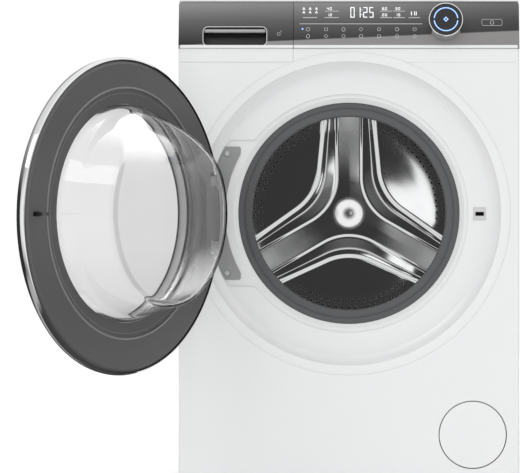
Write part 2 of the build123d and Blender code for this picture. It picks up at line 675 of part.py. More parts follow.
with BuildPart() as dispenser_housing:
    front = FASCIA_DEPTH + 5
    rear = FASCIA_DEPTH + TRAY_LONG + 8
    clear = 1.2
    spout = FASCIA_DEPTH + TRAY_LONG - SPOUT_BACK
    middle = (TRAY_LEFT + TRAY_RIGHT) / 2
    low = TRAY_Z - RUN
    block(TRAY_LEFT - clear - HOUSING_WALL, TRAY_RIGHT + clear + HOUSING_WALL, front, rear,
          low - HOUSING_WALL, WORKTOP_Z - FIT)
    block(TRAY_LEFT - clear, TRAY_RIGHT + clear, front - 1, rear - HOUSING_WALL, low,
          WORKTOP_Z - FIT - HOUSING_WALL, mode=Mode.SUBTRACT)
    post(SPOUT_R - FIT, 0, middle, spout, low - 14, low - 1)
    post(SPOUT_R - SPIGOT_WALL, 0, middle, spout, low - 15, low + 1, mode=Mode.SUBTRACT)
save(dispenser_housing, "dispenser_housing")

# Water services through the back, and the gland for the supply lead
with BuildPart() as inlet_valve:
    block(INLET_X - 24, INLET_X + 24, DEPTH - 60, DEPTH - SHEET, INLET_Z - 20, INLET_Z + 20)
    fillet(inlet_valve.edges().filter_by(Axis.Y), radius=5)
    tube(INLET_R + 0.6, 0, DEPTH - SHEET - 2, DEPTH, INLET_X, INLET_Z)
    tube(INLET_R, 0, DEPTH - SHEET - 2, DEPTH + INLET_OUT, INLET_X, INLET_Z)
    tube(7, 0, DEPTH - 40, DEPTH + INLET_OUT + 1, INLET_X, INLET_Z, Mode.SUBTRACT)
save(inlet_valve, "inlet_valve")

with BuildPart() as mains_gland:
    tube(GLAND_R, 0, DEPTH - 12, DEPTH + 3, GLAND_X, GLAND_Z)
    tube(GLAND_R + 4, 0, DEPTH, DEPTH + 5, GLAND_X, GLAND_Z)
    tube(GLAND_R + 3, 0, DEPTH - SHEET - 6, DEPTH - SHEET, GLAND_X, GLAND_Z)
    tube(LEAD_R, 0, DEPTH - 13, DEPTH + 6, GLAND_X, GLAND_Z, Mode.SUBTRACT)
save(mains_gland, "mains_gland")

# Door lock behind the recess floor, its square face through the panel
with BuildPart() as door_lock:
    behind = FLOOR_DEPTH + SHEET
    block(LOCK_X - LOCK_HALF_W, LOCK_X + LOCK_HALF_W, behind, behind + LOCK_DEEP, LOCK_Z - LOCK_HALF_H,
          LOCK_Z + LOCK_HALF_H)
    block(LOCK_X - LOCK_FACE / 2, LOCK_X + LOCK_FACE / 2, FLOOR_DEPTH - 0.8, behind + 1,
          LOCK_Z - LOCK_FACE / 2,
          LOCK_Z + LOCK_FACE / 2)
    block(LOCK_X - SLOT_W / 2, LOCK_X + SLOT_W / 2, FLOOR_DEPTH - 2, FLOOR_DEPTH + 2, LOCK_Z - SLOT_H / 2,
          LOCK_Z + SLOT_H / 2, mode=Mode.SUBTRACT)
    block(LOCK_X - SLOT_W / 2 - 1, LOCK_X + SLOT_W / 2 + 2, FLOOR_DEPTH + 0.9, behind + LOCK_DEEP - 8,
          LOCK_Z - SLOT_H / 2 - 2, LOCK_Z + SLOT_H / 2 + 2, mode=Mode.SUBTRACT)
save(door_lock, "door_lock")

# Hinge plate on the pad: butterfly plate, two goosenecked arms and their knuckles
PLATE = 2.5
PLATE_GAP = 13.0
PLATE_END = 12.0
PLATE_R = MOUTH_R + PLATE_GAP
PLATE_LEFT = 10.0 - FLOOR_R
PLATE_RIGHT = -sqrt(PLATE_R**2 - HINGE_SCREW_Z**2)
HINGE_Y = at(HINGE_DEPTH)
ARM_OUT = 14.0
ARM_BEND = 14.0
with BuildPart() as hinge_plate:
    with BuildSketch(front_plane(PAD_DEPTH - PLATE)) as wings:
        with Locations(((PLATE_LEFT + PLATE_RIGHT) / 2, AXIS_Z)):
            Rectangle(PLATE_RIGHT - PLATE_LEFT, 2 * (HINGE_SCREW_Z + PLATE_END))
        with Locations((0, AXIS_Z)):
            Circle(PLATE_R, mode=Mode.SUBTRACT)
            Circle(FLOOR_R - 1 - 2 * SHEET, mode=Mode.INTERSECT)
        fillet(wings.vertices(), radius=4)
    extrude(amount=-PLATE)
    reach = PAD_DEPTH - PLATE - HINGE_DEPTH
    for z in (AXIS_Z - KNUCKLE_Z, AXIS_Z + KNUCKLE_Z):
        with BuildSketch(Plane.XY.offset(z - KNUCKLE_H / 2)):
            with BuildLine() as neck:
                FilletPolyline((HINGE_X, HINGE_Y), (HINGE_X + ARM_OUT, HINGE_Y + ARM_BEND),
                               (HINGE_X + ARM_OUT, HINGE_Y + reach + 1), radius=6)
            trace(neck.line, line_width=ARM)
            with Locations((HINGE_X, HINGE_Y)):
                Circle(KNUCKLE_R)
                Circle(PIN_R + 0.05, mode=Mode.SUBTRACT)
        extrude(amount=KNUCKLE_H)
    with BuildSketch(front_plane(PAD_DEPTH + 2)):
        with Locations((HINGE_SCREW_X, AXIS_Z + HINGE_SCREW_Z), (HINGE_SCREW_X, AXIS_Z - HINGE_SCREW_Z)):
            Circle(HINGE_SCREW_R + FIT)
    extrude(amount=PLATE + 4, mode=Mode.SUBTRACT)
save(hinge_plate, "hinge_plate")

with BuildPart() as hinge_pin:
    low = AXIS_Z - KNUCKLE_Z - KNUCKLE_H / 2
    high = AXIS_Z + KNUCKLE_Z + KNUCKLE_H / 2
    post(PIN_R, 0, HINGE_X, HINGE_DEPTH, low - 2, high + 2)
    post(PIN_R + 1, 0, HINGE_X, HINGE_DEPTH, high, high + 2)
save(hinge_pin, "hinge_pin")

with BuildPart() as cabinet_screws:
    with BuildSketch(front_plane(PAD_DEPTH - PLATE)):
        with Locations((HINGE_SCREW_X, AXIS_Z + HINGE_SCREW_Z), (HINGE_SCREW_X, AXIS_Z - HINGE_SCREW_Z)):
            Circle(5.2)
    extrude(amount=2.6, taper=22)
    with BuildSketch(front_plane(PAD_DEPTH + 8)):
        with Locations((HINGE_SCREW_X, AXIS_Z + HINGE_SCREW_Z), (HINGE_SCREW_X, AXIS_Z - HINGE_SCREW_Z)):
            Circle(HINGE_SCREW_R)
    extrude(amount=PLATE + 8.5)
    with BuildSketch(front_plane(DEPTH + SHEET + SCREW_HEAD)):
        with Locations((0, AXIS_Z)):
            with PolarLocations((COVER_R + ACCESS_R) / 2, 6, start_angle=30):
                Circle(2.2 * SCREW_R)
    extrude(amount=SCREW_HEAD)
    with BuildSketch(front_plane(DEPTH + SHEET + SCREW_HEAD)):
        with Locations((0, AXIS_Z)):
            with PolarLocations((COVER_R + ACCESS_R) / 2, 6, start_angle=30):
                Circle(SCREW_R)
    extrude(amount=10)
save(cabinet_screws, "cabinet_screws")

# Rubber gasket between the panel lip and the tub collar
with BuildPart() as gasket:
    wall = GASKET_WALL
    face = GASKET_FRONT
    end = COLLAR_R - RUN
    outer = LIP_R - RUN
    turned([(outer, face + 2), (GASKET_R + 16.5, face + 2), (GASKET_R + 14.5, face + 4.2),
            (GASKET_R + 12.5, face + 2), (GASKET_R + 2, face), (GASKET_R, face + 3), (GASKET_R, face + 9),
            (GASKET_R + 3, face + 15), (COLLAR_R - 14, face + 19), (end - wall, face + 27),
            (end - wall, TUB_FRONT + 2), (end, TUB_FRONT + 2), (end, face + 25.5), (COLLAR_R - 13, face + 16),
            (GASKET_R + 5.3, face + 12.6), (GASKET_R + wall, face + 8.5), (GASKET_R + wall, face + 4),
            (GASKET_R + wall + 1, face + 3.2), (GASKET_R + 12, face + 5), (GASKET_R + 14.5, face + 7.6),
            (GASKET_R + 17, face + 5), (outer, face + 5)])
save(gasket, "gasket")

# Outer tub: moulded front half with the sump spigot, rear half with bearing boss and lugs
INNER = TUB_R - TUB_WALL
SUMP_X = 70.0
SUMP_DEPTH = 95.0
SUMP_TOP = AXIS_Z - TUB_R
SUMP_Z = SUMP_TOP - HOSE_GRIP
HEATER_X = 22.0
HEATER_R = 3.5
HEATER_END = DRUM_BACK - 100
HEATER_PITCH = (INNER + DRUM_R) / 2
HEATER_Z = AXIS_Z - sqrt(HEATER_PITCH**2 - HEATER_X**2)
with BuildPart() as tub_front:
    tube(TUB_R, 0, TUB_FRONT, TUB_SPLIT)
    tube(TUB_R + TUB_FLANGE, 0, TUB_SPLIT - TUB_FLANGE, TUB_SPLIT)
    post(HOSE_R - FIT, 0, SUMP_X, SUMP_DEPTH, SUMP_Z, AXIS_Z - TUB_R / 2)
    tube(INNER, 0, TUB_FRONT + TUB_WALL, TUB_SPLIT + 1, mode=Mode.SUBTRACT)
    post(HOSE_R - FIT - SPIGOT_WALL, 0, SUMP_X, SUMP_DEPTH, SUMP_Z - 1,
         AXIS_Z - TUB_R / 2, mode=Mode.SUBTRACT)
    tube(COLLAR_R, 0, TUB_FRONT - 1, TUB_SPLIT, mode=Mode.SUBTRACT)
    tube(COLLAR_R + TUB_WALL, COLLAR_R, COLLAR_FRONT, TUB_FRONT + TUB_WALL)
    tube(HEATER_R + FIT, 0, TUB_FRONT - 1, TUB_FRONT + TUB_WALL + 1, -HEATER_X, HEATER_Z, Mode.SUBTRACT)
    tube(HEATER_R + FIT, 0, TUB_FRONT - 1, TUB_FRONT + TUB_WALL + 1, HEATER_X, HEATER_Z, Mode.SUBTRACT)
save(tub_front, "tub_front")

FILL_X = (TRAY_LEFT + TRAY_RIGHT) / 2
FILL_DEPTH = FASCIA_DEPTH + TRAY_LONG - SPOUT_BACK
FILL_Z = AXIS_Z + sqrt(TUB_R**2 - FILL_X**2)
BOSS_FRONT = TUB_BACK - 11
FRONT_SEAT = BOSS_FRONT + 2
REAR_SEAT = BOSS_BACK - BEARING_W
with BuildPart() as tub_rear:
    tube(TUB_R, 0, TUB_SPLIT, TUB_BACK)
    tube(TUB_R + TUB_FLANGE, 0, TUB_SPLIT, TUB_SPLIT + TUB_FLANGE)
    post(SPOUT_R - FIT, 0, FILL_X, FILL_DEPTH, (AXIS_Z + FILL_Z) / 2, FILL_Z + 44)
    for side in (-1, 1):
        post(11, 0, side * DAMPER_X, DAMPER_DEPTH, DAMPER_TOP + ROD_OUT, AXIS_Z - TUB_R / 2)
        block(side * SPRING_X - 12, side * SPRING_X + 12, SPRING_DEPTH - 7, SPRING_DEPTH + 7,
              AXIS_Z, SPRING_Z)
    tube(INNER, 0, TUB_SPLIT - 1, TUB_BACK - 5, mode=Mode.SUBTRACT)
    post(SPOUT_R - SPIGOT_WALL, 0, FILL_X, FILL_DEPTH, (AXIS_Z + FILL_Z) / 2, FILL_Z + 45,
         mode=Mode.SUBTRACT)
    tube(BOSS_R, 0, BOSS_FRONT, BOSS_BACK)
    tube(SHAFT_R + 1.5, 0, BOSS_FRONT - 1, BOSS_BACK + 1, mode=Mode.SUBTRACT)
    tube(BEARING_FRONT_R + PRESS, 0, FRONT_SEAT, FRONT_SEAT + BEARING_W, mode=Mode.SUBTRACT)
    tube(BEARING_REAR_R + PRESS, 0, REAR_SEAT, BOSS_BACK + 1, mode=Mode.SUBTRACT)
save(tub_rear, "tub_rear")

with BuildPart() as bearings:
    tube(BEARING_FRONT_R, SHAFT_R + RUNNING, FRONT_SEAT, FRONT_SEAT + BEARING_W)
    tube(BEARING_REAR_R, SHAFT_REAR_R + RUNNING, REAR_SEAT, REAR_SEAT + BEARING_W - 1)
save(bearings, "bearings")

with BuildPart() as heater:
    bend = HEATER_X
    with BuildLine() as loop:
        Polyline((-HEATER_X, at(TUB_FRONT - 12), HEATER_Z), (-HEATER_X, at(HEATER_END), HEATER_Z))
        ThreePointArc((-HEATER_X, at(HEATER_END), HEATER_Z), (0, at(HEATER_END + bend), HEATER_Z),
                      (HEATER_X, at(HEATER_END), HEATER_Z))
        Polyline((HEATER_X, at(HEATER_END), HEATER_Z), (HEATER_X, at(TUB_FRONT - 12), HEATER_Z))
    with BuildSketch(front_plane(TUB_FRONT - 12)):
        with Locations((-HEATER_X, HEATER_Z)):
            Circle(HEATER_R)
    sweep(path=loop.line)
    block(-HEATER_X - 9, HEATER_X + 9, TUB_FRONT - 4, TUB_FRONT, HEATER_Z - 8, HEATER_Z + 8)
save(heater, "heater")

# Counterweights cast to the tub
WEIGHT_UP = 58.0
WEIGHT_SIDE = WIDTH / 2 - 147.5
with BuildPart() as front_counterweight:
    tube(DRUM_R + 10, COLLAR_R + 15, TUB_FRONT - 32, TUB_FRONT)
    block(-WIDTH, WIDTH, 0, TUB_FRONT + 1, AXIS_Z - 145, AXIS_Z + 145, mode=Mode.SUBTRACT)
    block(-HEATER_X - 14, HEATER_X + 14, 0, TUB_FRONT + 1, HEATER_Z - 40, HEATER_Z + 12, mode=Mode.SUBTRACT)
save(front_counterweight, "front_counterweight")

with BuildPart() as top_counterweight:
    ahead = TUB_SPLIT - 90
    behind = TUB_BACK - 61
    block(DRAWER_EDGE + 15, WEIGHT_SIDE, ahead, behind,
          AXIS_Z + TUB_R - WEIGHT_UP, AXIS_Z + TUB_R + WEIGHT_UP)
    fillet(top_counterweight.edges().filter_by(Axis.Z), radius=12)
    tube(TUB_R + TUB_FLANGE + PRESS, 0, ahead - 10, behind + 10, mode=Mode.SUBTRACT)
save(top_counterweight, "top_counterweight")

# Suspension: coil springs with end seats, dampers between tub and base
with BuildPart() as suspension_springs:
    for side in (-1, 1):
        place = Plane(origin=(side * SPRING_X, at(SPRING_DEPTH), SPRING_Z + SPRING_CAP - 1))
        with BuildLine(place) as coil:
            Helix(pitch=SPRING_PITCH, height=SPRING_H - 2 * SPRING_CAP + 2, radius=SPRING_R)
        with BuildSketch(Plane(origin=coil.line @ 0, z_dir=coil.line % 0)):
            Circle(WIRE_R)
        sweep(path=coil.line, is_frenet=True)
        post(SPRING_R + 3, 0, side * SPRING_X, SPRING_DEPTH, SPRING_Z, SPRING_Z + SPRING_CAP)
        post(SPRING_R + 3, 0, side * SPRING_X, SPRING_DEPTH,
             SPRING_Z + SPRING_H - SPRING_CAP, SPRING_Z + SPRING_H)
save(suspension_springs, "suspension_springs")

with BuildPart() as damper_cylinders:
    for side in (-1, 1):
        post(DAMPER_R, 0, side * DAMPER_X, DAMPER_DEPTH, BASE_Z + 4, DAMPER_TOP)
        post(ROD_R + RUNNING, 0, side * DAMPER_X, DAMPER_DEPTH,
             BASE_Z + 50, DAMPER_TOP + 1, mode=Mode.SUBTRACT)
save(damper_cylinders, "damper_cylinders")

with BuildPart() as damper_rods:
    for side in (-1, 1):
        post(ROD_R, 0, side * DAMPER_X, DAMPER_DEPTH, BASE_Z + 80, DAMPER_TOP + ROD_OUT)
save(damper_rods, "damper_rods")

# Drum: rolled shell, front ring, pressed back with a three-arm star, hub cap and lifters
with BuildPart() as drum_shell:
    tube(DRUM_R, DRUM_R - DRUM_SHEET, DRUM_FRONT + DRUM_SHEET, DRUM_BACK)
save(drum_shell, "drum_shell")

with BuildPart() as drum_front:
    turned([(DRUM_R, DRUM_FRONT), (DRUM_MOUTH_R + 6, DRUM_FRONT), (DRUM_MOUTH_R, DRUM_FRONT + 4),
            (DRUM_MOUTH_R, DRUM_FRONT + 9), (DRUM_MOUTH_R + DRUM_SHEET, DRUM_FRONT + 9),
            (DRUM_MOUTH_R + DRUM_SHEET, DRUM_FRONT + 5), (DRUM_MOUTH_R + 7, DRUM_FRONT + DRUM_SHEET),
            (DRUM_R, DRUM_FRONT + DRUM_SHEET)])
save(drum_front, "drum_front")

SECTORS = (30.0, 150.0, 270.0)
STAR_R = 79.4
STAR_OPEN = 65.6
ARM_HALF = 24.0
STAR_FILLET = 98.0


def star(plane, corner, opening, limit, fillet_radius):
    """Three-arm star: a corner on each sector's middle, sides running out to a round limit."""
    def along(base, angle, length):
        return (base[0] + length * cos(radians(angle)), base[1] + length * sin(radians(angle)))

    corners = [along((0, AXIS_Z), sector, corner) for sector in SECTORS]
    outline = []
    for sector, base in zip(SECTORS, corners):
        outline.append(along(base, sector - opening, 2 * limit))
        outline.append(base)
        outline.append(along(base, sector + opening, 2 * limit))
    with BuildSketch(plane) as shape:
        with BuildLine():
            Polyline(*outline, close=True)
        make_face()
        inner = shape.vertices().sort_by_distance((0, AXIS_Z, 0))[:3]
        fillet(inner, radius=fillet_radius)
        with Locations((0, AXIS_Z)):
            Circle(limit, mode=Mode.INTERSECT)
    return shape.sketch


with BuildPart() as drum_back:
    skin = DRUM_SHEET
    tube(DRUM_R, 0, DRUM_BACK, DRUM_BACK + skin)
    edge = DRUM_R - 14
    raised = star(front_plane(DRUM_BACK), STAR_R, STAR_OPEN, edge, STAR_FILLET)
    extrude(raised, amount=RELIEF)
    valley = star(front_plane(DRUM_BACK - CHANNEL), ARM_HALF / cos(radians(30)), 60.0, edge - 2, STAR_FILLET)
    extrude(valley, amount=RELIEF + 1, mode=Mode.SUBTRACT)
    under = star(front_plane(DRUM_BACK + skin + 1), STAR_R - 1.2 * skin, STAR_OPEN, edge - skin, STAR_FILLET)
    wall = (ARM_HALF + skin) / cos(radians(30))
    keep = star(front_plane(DRUM_BACK + skin + 1), wall, 60.0, edge + 1, STAR_FILLET)
    extrude(under - keep, amount=RELIEF + 1, mode=Mode.SUBTRACT)
    pan = star(front_plane(DRUM_BACK + skin + 1), wall, 60.0, edge - skin, STAR_FILLET)
    extrude(pan, amount=CHANNEL + 1, mode=Mode.SUBTRACT)
    with BuildSketch(front_plane(DRUM_BACK + skin + 1)):
        for sector in SECTORS:
            with Locations((0, AXIS_Z)):
                with PolarLocations(DRUM_R - HOLE_EDGE, 21, start_angle=sector - 39, angular_range=78,
                                    endpoint=True):
                    Circle(HOLE_R)
                with PolarLocations(DRUM_R - HOLE_EDGE - HOLE_ROW, 20, start_angle=sector - 37,
                                    angular_range=74, endpoint=True):
                    Circle(HOLE_R)
    extrude(amount=skin + 2, mode=Mode.SUBTRACT)
save(drum_back, "drum_back")

with BuildPart() as hub_cap:
    floor = DRUM_BACK - CHANNEL
    with BuildSketch(SECTION):
        with BuildLine():
            Polyline((HUB_R, at(floor)), (0, at(floor)), (0, at(floor - HUB_H)))
            ThreePointArc((0, at(floor - HUB_H)), (HUB_R * 0.72, at(floor - 0.58 * HUB_H)),
                          (HUB_R, at(floor)))
        make_face()
    revolve(axis=DRUM_AXIS)
save(hub_cap, "hub_cap")

with BuildPart() as lifters:
    bore = DRUM_R - DRUM_SHEET - PRESS
    middle = (DRUM_FRONT + DRUM_BACK) / 2
    for sector in SECTORS:
        out = (cos(radians(sector)), 0, sin(radians(sector)))
        base = Plane(origin=(bore * out[0], at(middle), AXIS_Z + bore * out[2]), x_dir=(0, 1, 0),
                     z_dir=(-out[0], 0, -out[2]))
        with BuildSketch(base.offset(-4)):
            RectangleRounded(DRUM_BACK - DRUM_FRONT - 2 * LIFTER_END, LIFTER_W, 12)
        extrude(amount=LIFTER_H + 4, taper=20)
    with BuildSketch(front_plane(DRUM_BACK)):
        with Locations((0, AXIS_Z)):
            Circle(bore)
    extrude(amount=DRUM_BACK - DRUM_FRONT, mode=Mode.INTERSECT)
save(lifters, "lifters")

with BuildPart() as spider:
    start = DRUM_BACK + DRUM_SHEET
    tube(SPIDER_R, 0, start, start + SPIDER_H)
    reach = DRUM_R - 13
    for angle in (90.0, 210.0, 330.0):
        out = (cos(radians(angle)), 0, sin(radians(angle)))
        arm = Plane(origin=(0, at(start), AXIS_Z), x_dir=out, z_dir=(0, 1, 0))
        with BuildSketch(arm):
            with Locations((reach / 2, 0)):
                Rectangle(reach, SPIDER_ARM)
        extrude(amount=SPIDER_THICK)
    tube(SHAFT_R + PRESS, 0, start + 3, start + 40, mode=Mode.SUBTRACT)
save(spider, "spider")

with BuildPart() as shaft:
    start = DRUM_BACK + DRUM_SHEET + 3
    tube(SHAFT_R, 0, start, FRONT_SEAT + BEARING_W + 1)
    tube(SHAFT_REAR_R, 0, start, ROTOR_BACK - 6)
    tube(SHAFT_END_R, 0, start, ROTOR_BACK + 8)
save(shaft, "shaft")

# Direct drive motor: toothed stator on the tub, magnet cup on the shaft
with BuildPart() as stator:
    tube(STATOR_CORE_R, BOSS_R + 1, TUB_BACK, TUB_BACK + 29)
    with BuildSketch(front_plane(TUB_BACK + 32)):
        with Locations((0, AXIS_Z)):
            with PolarLocations((STATOR_CORE_R + STATOR_R) / 2 - 0.5, 18):
                Rectangle(STATOR_R - STATOR_CORE_R + 1, 12)
            with PolarLocations(STATOR_R - 3, 18):
                Rectangle(5, 26)
    extrude(amount=26)
save(stator, "stator")

with BuildPart() as rotor:
    tube(ROTOR_R, 0, TUB_BACK + 4, ROTOR_BACK)
    tube(ROTOR_R - ROTOR_WALL, 0, TUB_BACK + 3, ROTOR_BACK - 4, mode=Mode.SUBTRACT)
    tube(20, 0, ROTOR_BACK - 6, ROTOR_BACK + 2)
    tube(SHAFT_END_R + PRESS, 0, ROTOR_BACK - 7, ROTOR_BACK + 3, mode=Mode.SUBTRACT)
    with BuildSketch(front_plane(ROTOR_BACK + 1)):
        with Locations((0, AXIS_Z)):
            with PolarLocations(70, 6):
                Circle(16)
    extrude(amount=8, mode=Mode.SUBTRACT)
save(rotor, "rotor")

# Drain pump: filter bay behind the flap, filter chamber, volute and motor in one moulding
BAY_BACK = BAY_DEPTH - BAY_WALL
PEG_R = 1.9
EAR = 4.0
FLAP_AXIS_X = FLAP_X - FLAP_R - FLAP_HINGE_OUT
BARREL_HALF = 10.0
OUTLET_DEPTH = (CHAMBER_END + VOLUTE_END) / 2
INLET_SPIGOT_X = FLAP_X - CHAMBER_R - 30
POCKET_IN_X = FLAP_AXIS_X - 4.5
with BuildPart() as pump_housing:
    tube(BAY_R + BAY_WALL, 0, 2, BAY_DEPTH, FLAP_X, FLAP_Z)
    tube(BAY_R, 0, 1, BAY_BACK, FLAP_X, FLAP_Z, Mode.SUBTRACT)
    inside = BARREL_HALF + 1
    floor = FLAP_HINGE_DEPTH + NECK_LOOP + NECK + 1
    block(POCKET_IN_X - BAY_WALL, FLAP_X - BAY_R + 2, 2, floor + BAY_WALL, FLAP_Z - inside - EAR,
          FLAP_Z + inside + EAR)
    block(POCKET_IN_X, FLAP_AXIS_X + NECK_LOOP + 9, 1, floor, FLAP_Z - inside, FLAP_Z + inside,
          mode=Mode.SUBTRACT)
    post(PEG_R + RUNNING, 0, FLAP_AXIS_X, FLAP_HINGE_DEPTH, FLAP_Z - inside - EAR - 1,
         FLAP_Z + inside + EAR + 1, mode=Mode.SUBTRACT)
    tube(CHAMBER_R, 0, BAY_BACK, CHAMBER_END, FLAP_X, FLAP_Z)
    tube(VOLUTE_R, 0, CHAMBER_END, VOLUTE_END, FLAP_X, FLAP_Z)
    tube(PUMP_MOTOR_R, 0, VOLUTE_END, PUMP_MOTOR_END, FLAP_X, FLAP_Z)
    with BuildSketch(Plane.YZ.offset(INLET_SPIGOT_X)):
        with Locations((at(SUMP_DEPTH), FLAP_Z)):
            Circle(HOSE_R - FIT)
    extrude(amount=40)
    post(PIPE_R - PIPE_WALL - FIT, 0, FLAP_X, OUTLET_DEPTH, FLAP_Z, FLAP_Z + VOLUTE_R + 3)
    tube(CHAMBER_R - CHAMBER_WALL, 0, BAY_BACK - 1, CHAMBER_END - 4, FLAP_X, FLAP_Z, Mode.SUBTRACT)
    tube(12, 0, CHAMBER_END - 5, CHAMBER_END + 4, FLAP_X, FLAP_Z, Mode.SUBTRACT)
    tube(VOLUTE_R - 4, 0, CHAMBER_END + 3, VOLUTE_END - 3, FLAP_X, FLAP_Z, Mode.SUBTRACT)
    tube(PIN_R + RUNNING, 0, VOLUTE_END - 4, VOLUTE_END + 20, FLAP_X, FLAP_Z, Mode.SUBTRACT)
    with BuildSketch(Plane.YZ.offset(INLET_SPIGOT_X - 1)):
        with Locations((at(SUMP_DEPTH), FLAP_Z)):
            Circle(HOSE_R - FIT - SPIGOT_WALL)
    extrude(amount=60, mode=Mode.SUBTRACT)
    post(PIPE_R - PIPE_WALL - FIT - 2, 0, FLAP_X, OUTLET_DEPTH, FLAP_Z + VOLUTE_R / 2, FLAP_Z + VOLUTE_R + 4,
         mode=Mode.SUBTRACT)
save(pump_housing, "pump_housing")

with BuildPart() as pump_filter:
    core = CHAMBER_R - CHAMBER_WALL - RUN
    tube(CHAMBER_R - 1, 0, BAY_BACK - 8, BAY_BACK - RUN, FLAP_X, FLAP_Z)
    tube(core, 0, BAY_BACK - 3, BAY_BACK + 8, FLAP_X, FLAP_Z)
    tube(core, core - 3, BAY_BACK + 7, CHAMBER_END - 12, FLAP_X, FLAP_Z)
    for depth in (BAY_BACK + 18, BAY_BACK + 34, BAY_BACK + 50):
        block(FLAP_X - 40, FLAP_X + 40, depth, depth + 9, FLAP_Z - 12, FLAP_Z + 12, mode=Mode.SUBTRACT)
    block(FLAP_X - 20, FLAP_X + 20, BAY_BACK - 14, BAY_BACK - 7, FLAP_Z - 3.5, FLAP_Z + 3.5)
save(pump_filter, "pump_filter")

with BuildPart() as pump_impeller:
    tube(PIN_R, 0, CHAMBER_END + 6, VOLUTE_END + 18, FLAP_X, FLAP_Z)
    tube(24, 0, VOLUTE_END - 7, VOLUTE_END - 4, FLAP_X, FLAP_Z)
    with BuildSketch(front_plane(VOLUTE_END - 6)):
        with Locations((FLAP_X, FLAP_Z)):
            with PolarLocations(13, 6):
                Rectangle(22, 2)
    extrude(amount=12)
save(pump_impeller, "pump_impeller")

with BuildPart() as service_flap:
    tube(FLAP_R, 0, 0, FLAP_THICK, FLAP_X, FLAP_Z)
    fillet(service_flap.edges().group_by(Axis.Y)[0], radius=1)
    post(2.6, 0, FLAP_AXIS_X, FLAP_HINGE_DEPTH, FLAP_Z - BARREL_HALF, FLAP_Z + BARREL_HALF)
    with BuildSketch(Plane.XY.offset(FLAP_Z - BARREL_HALF)):
        with BuildLine() as neck:
            bottom = at(FLAP_HINGE_DEPTH + NECK_LOOP)
            FilletPolyline((FLAP_AXIS_X, at(FLAP_HINGE_DEPTH)), (FLAP_AXIS_X, bottom),
                           (FLAP_AXIS_X + NECK_LOOP, bottom), (FLAP_AXIS_X + NECK_LOOP, at(FLAP_THICK - 1)),
                           radius=3)
        trace(neck.line, line_width=NECK)
    extrude(amount=2 * BARREL_HALF)
    post(PEG_R, 0, FLAP_AXIS_X, FLAP_HINGE_DEPTH, FLAP_Z - BARREL_HALF - EAR, FLAP_Z + BARREL_HALF + EAR)
save(service_flap, "service_flap")

# Hoses and the drain pipe to the back
with BuildPart() as sump_hose:
    with BuildLine() as route:
        FilletPolyline((SUMP_X, at(SUMP_DEPTH), SUMP_TOP), (SUMP_X, at(SUMP_DEPTH), FLAP_Z),
                       (INLET_SPIGOT_X + HOSE_GRIP, at(SUMP_DEPTH), FLAP_Z), radius=HOSE_BEND)
    with BuildSketch(Plane.XY.offset(SUMP_TOP)):
        with Locations((SUMP_X, at(SUMP_DEPTH))):
            Circle(HOSE_R + HOSE_WALL)
            Circle(HOSE_R, mode=Mode.SUBTRACT)
    sweep(path=route.line)
save(sump_hose, "sump_hose")

with BuildPart() as fill_hose:
    post(SPOUT_R + HOSE_WALL, SPOUT_R, FILL_X, FILL_DEPTH, FILL_Z + 26, TRAY_Z - RUN - HOUSING_WALL - FIT)
save(fill_hose, "fill_hose")

with BuildPart() as drain_pipe:
    rise = FLAP_Z + VOLUTE_R + 0.5
    with BuildLine() as route:
        FilletPolyline((FLAP_X, at(OUTLET_DEPTH), rise), (FLAP_X, at(OUTLET_DEPTH), PIPE_Z),
                       (FLAP_X, at(DEPTH + SPIGOT_OUT), PIPE_Z), radius=PIPE_BEND)
    with BuildSketch(Plane.XY.offset(rise)):
        with Locations((FLAP_X, at(OUTLET_DEPTH))):
            Circle(PIPE_R)
            Circle(PIPE_R - PIPE_WALL, mode=Mode.SUBTRACT)
    sweep(path=route.line)
    tube(PIPE_R + 1, PIPE_R - 1, DEPTH, DEPTH + SPIGOT_OUT + 1, FLAP_X, PIPE_Z, Mode.SUBTRACT)
save(drain_pipe, "drain_pipe")

# Door planes in the open pose: along is hinge to free edge, inward is the inner face's normal
SWING = radians(DOOR_OPEN)
ALONG = Vector(cos(SWING), -sin(SWING), 0)
INWARD = Vector(sin(SWING), cos(SWING), 0)
DOOR_CENTRE = (Vector(HINGE_X, HINGE_Y, AXIS_Z) + ALONG * -HINGE_X + INWARD * (DOOR_FACE_DEPTH - HINGE_DEPTH))
RING_CENTRE = DOOR_CENTRE + Vector(0, 0, -RING_DROP)
DOOR_FACE = Plane(origin=DOOR_CENTRE, x_dir=ALONG, z_dir=-INWARD)
BOWL_SECTION = Plane(origin=DOOR_CENTRE, x_dir=ALONG, z_dir=(0, 0, 1))
RING_SECTION = Plane(origin=RING_CENTRE, x_dir=ALONG, z_dir=(0, 0, 1))
BOWL_AXIS = Axis(DOOR_CENTRE, INWARD)
RING_AXIS = Axis(RING_CENTRE, INWARD)
HINGE_IN = DOOR_FACE_DEPTH - HINGE_DEPTH


def door_block(x0, x1, n0, n1, z0, z1, mode=Mode.ADD):
    """Block in door terms: along the door, inward of its face, and up from its middle."""
    with BuildSketch(Plane(origin=DOOR_CENTRE + Vector(0, 0, z0), x_dir=ALONG, z_dir=(0, 0, 1))) as foot:
        with Locations(((x0 + x1) / 2, (n0 + n1) / 2)):
            Rectangle(abs(x1 - x0), abs(n1 - n0))
    extrude(foot.sketch, amount=z1 - z0, mode=mode)


def door_post(outer, inner, x, n, z0, z1, mode=Mode.ADD):
    """Upright round bar in door terms."""
    with BuildSketch(Plane(origin=DOOR_CENTRE + Vector(0, 0, z0), x_dir=ALONG, z_dir=(0, 0, 1))) as ring:
        with Locations((x, n)):
            Circle(outer)
            if inner:
                Circle(inner, mode=Mode.SUBTRACT)
    extrude(ring.sketch, amount=z1 - z0, mode=mode)


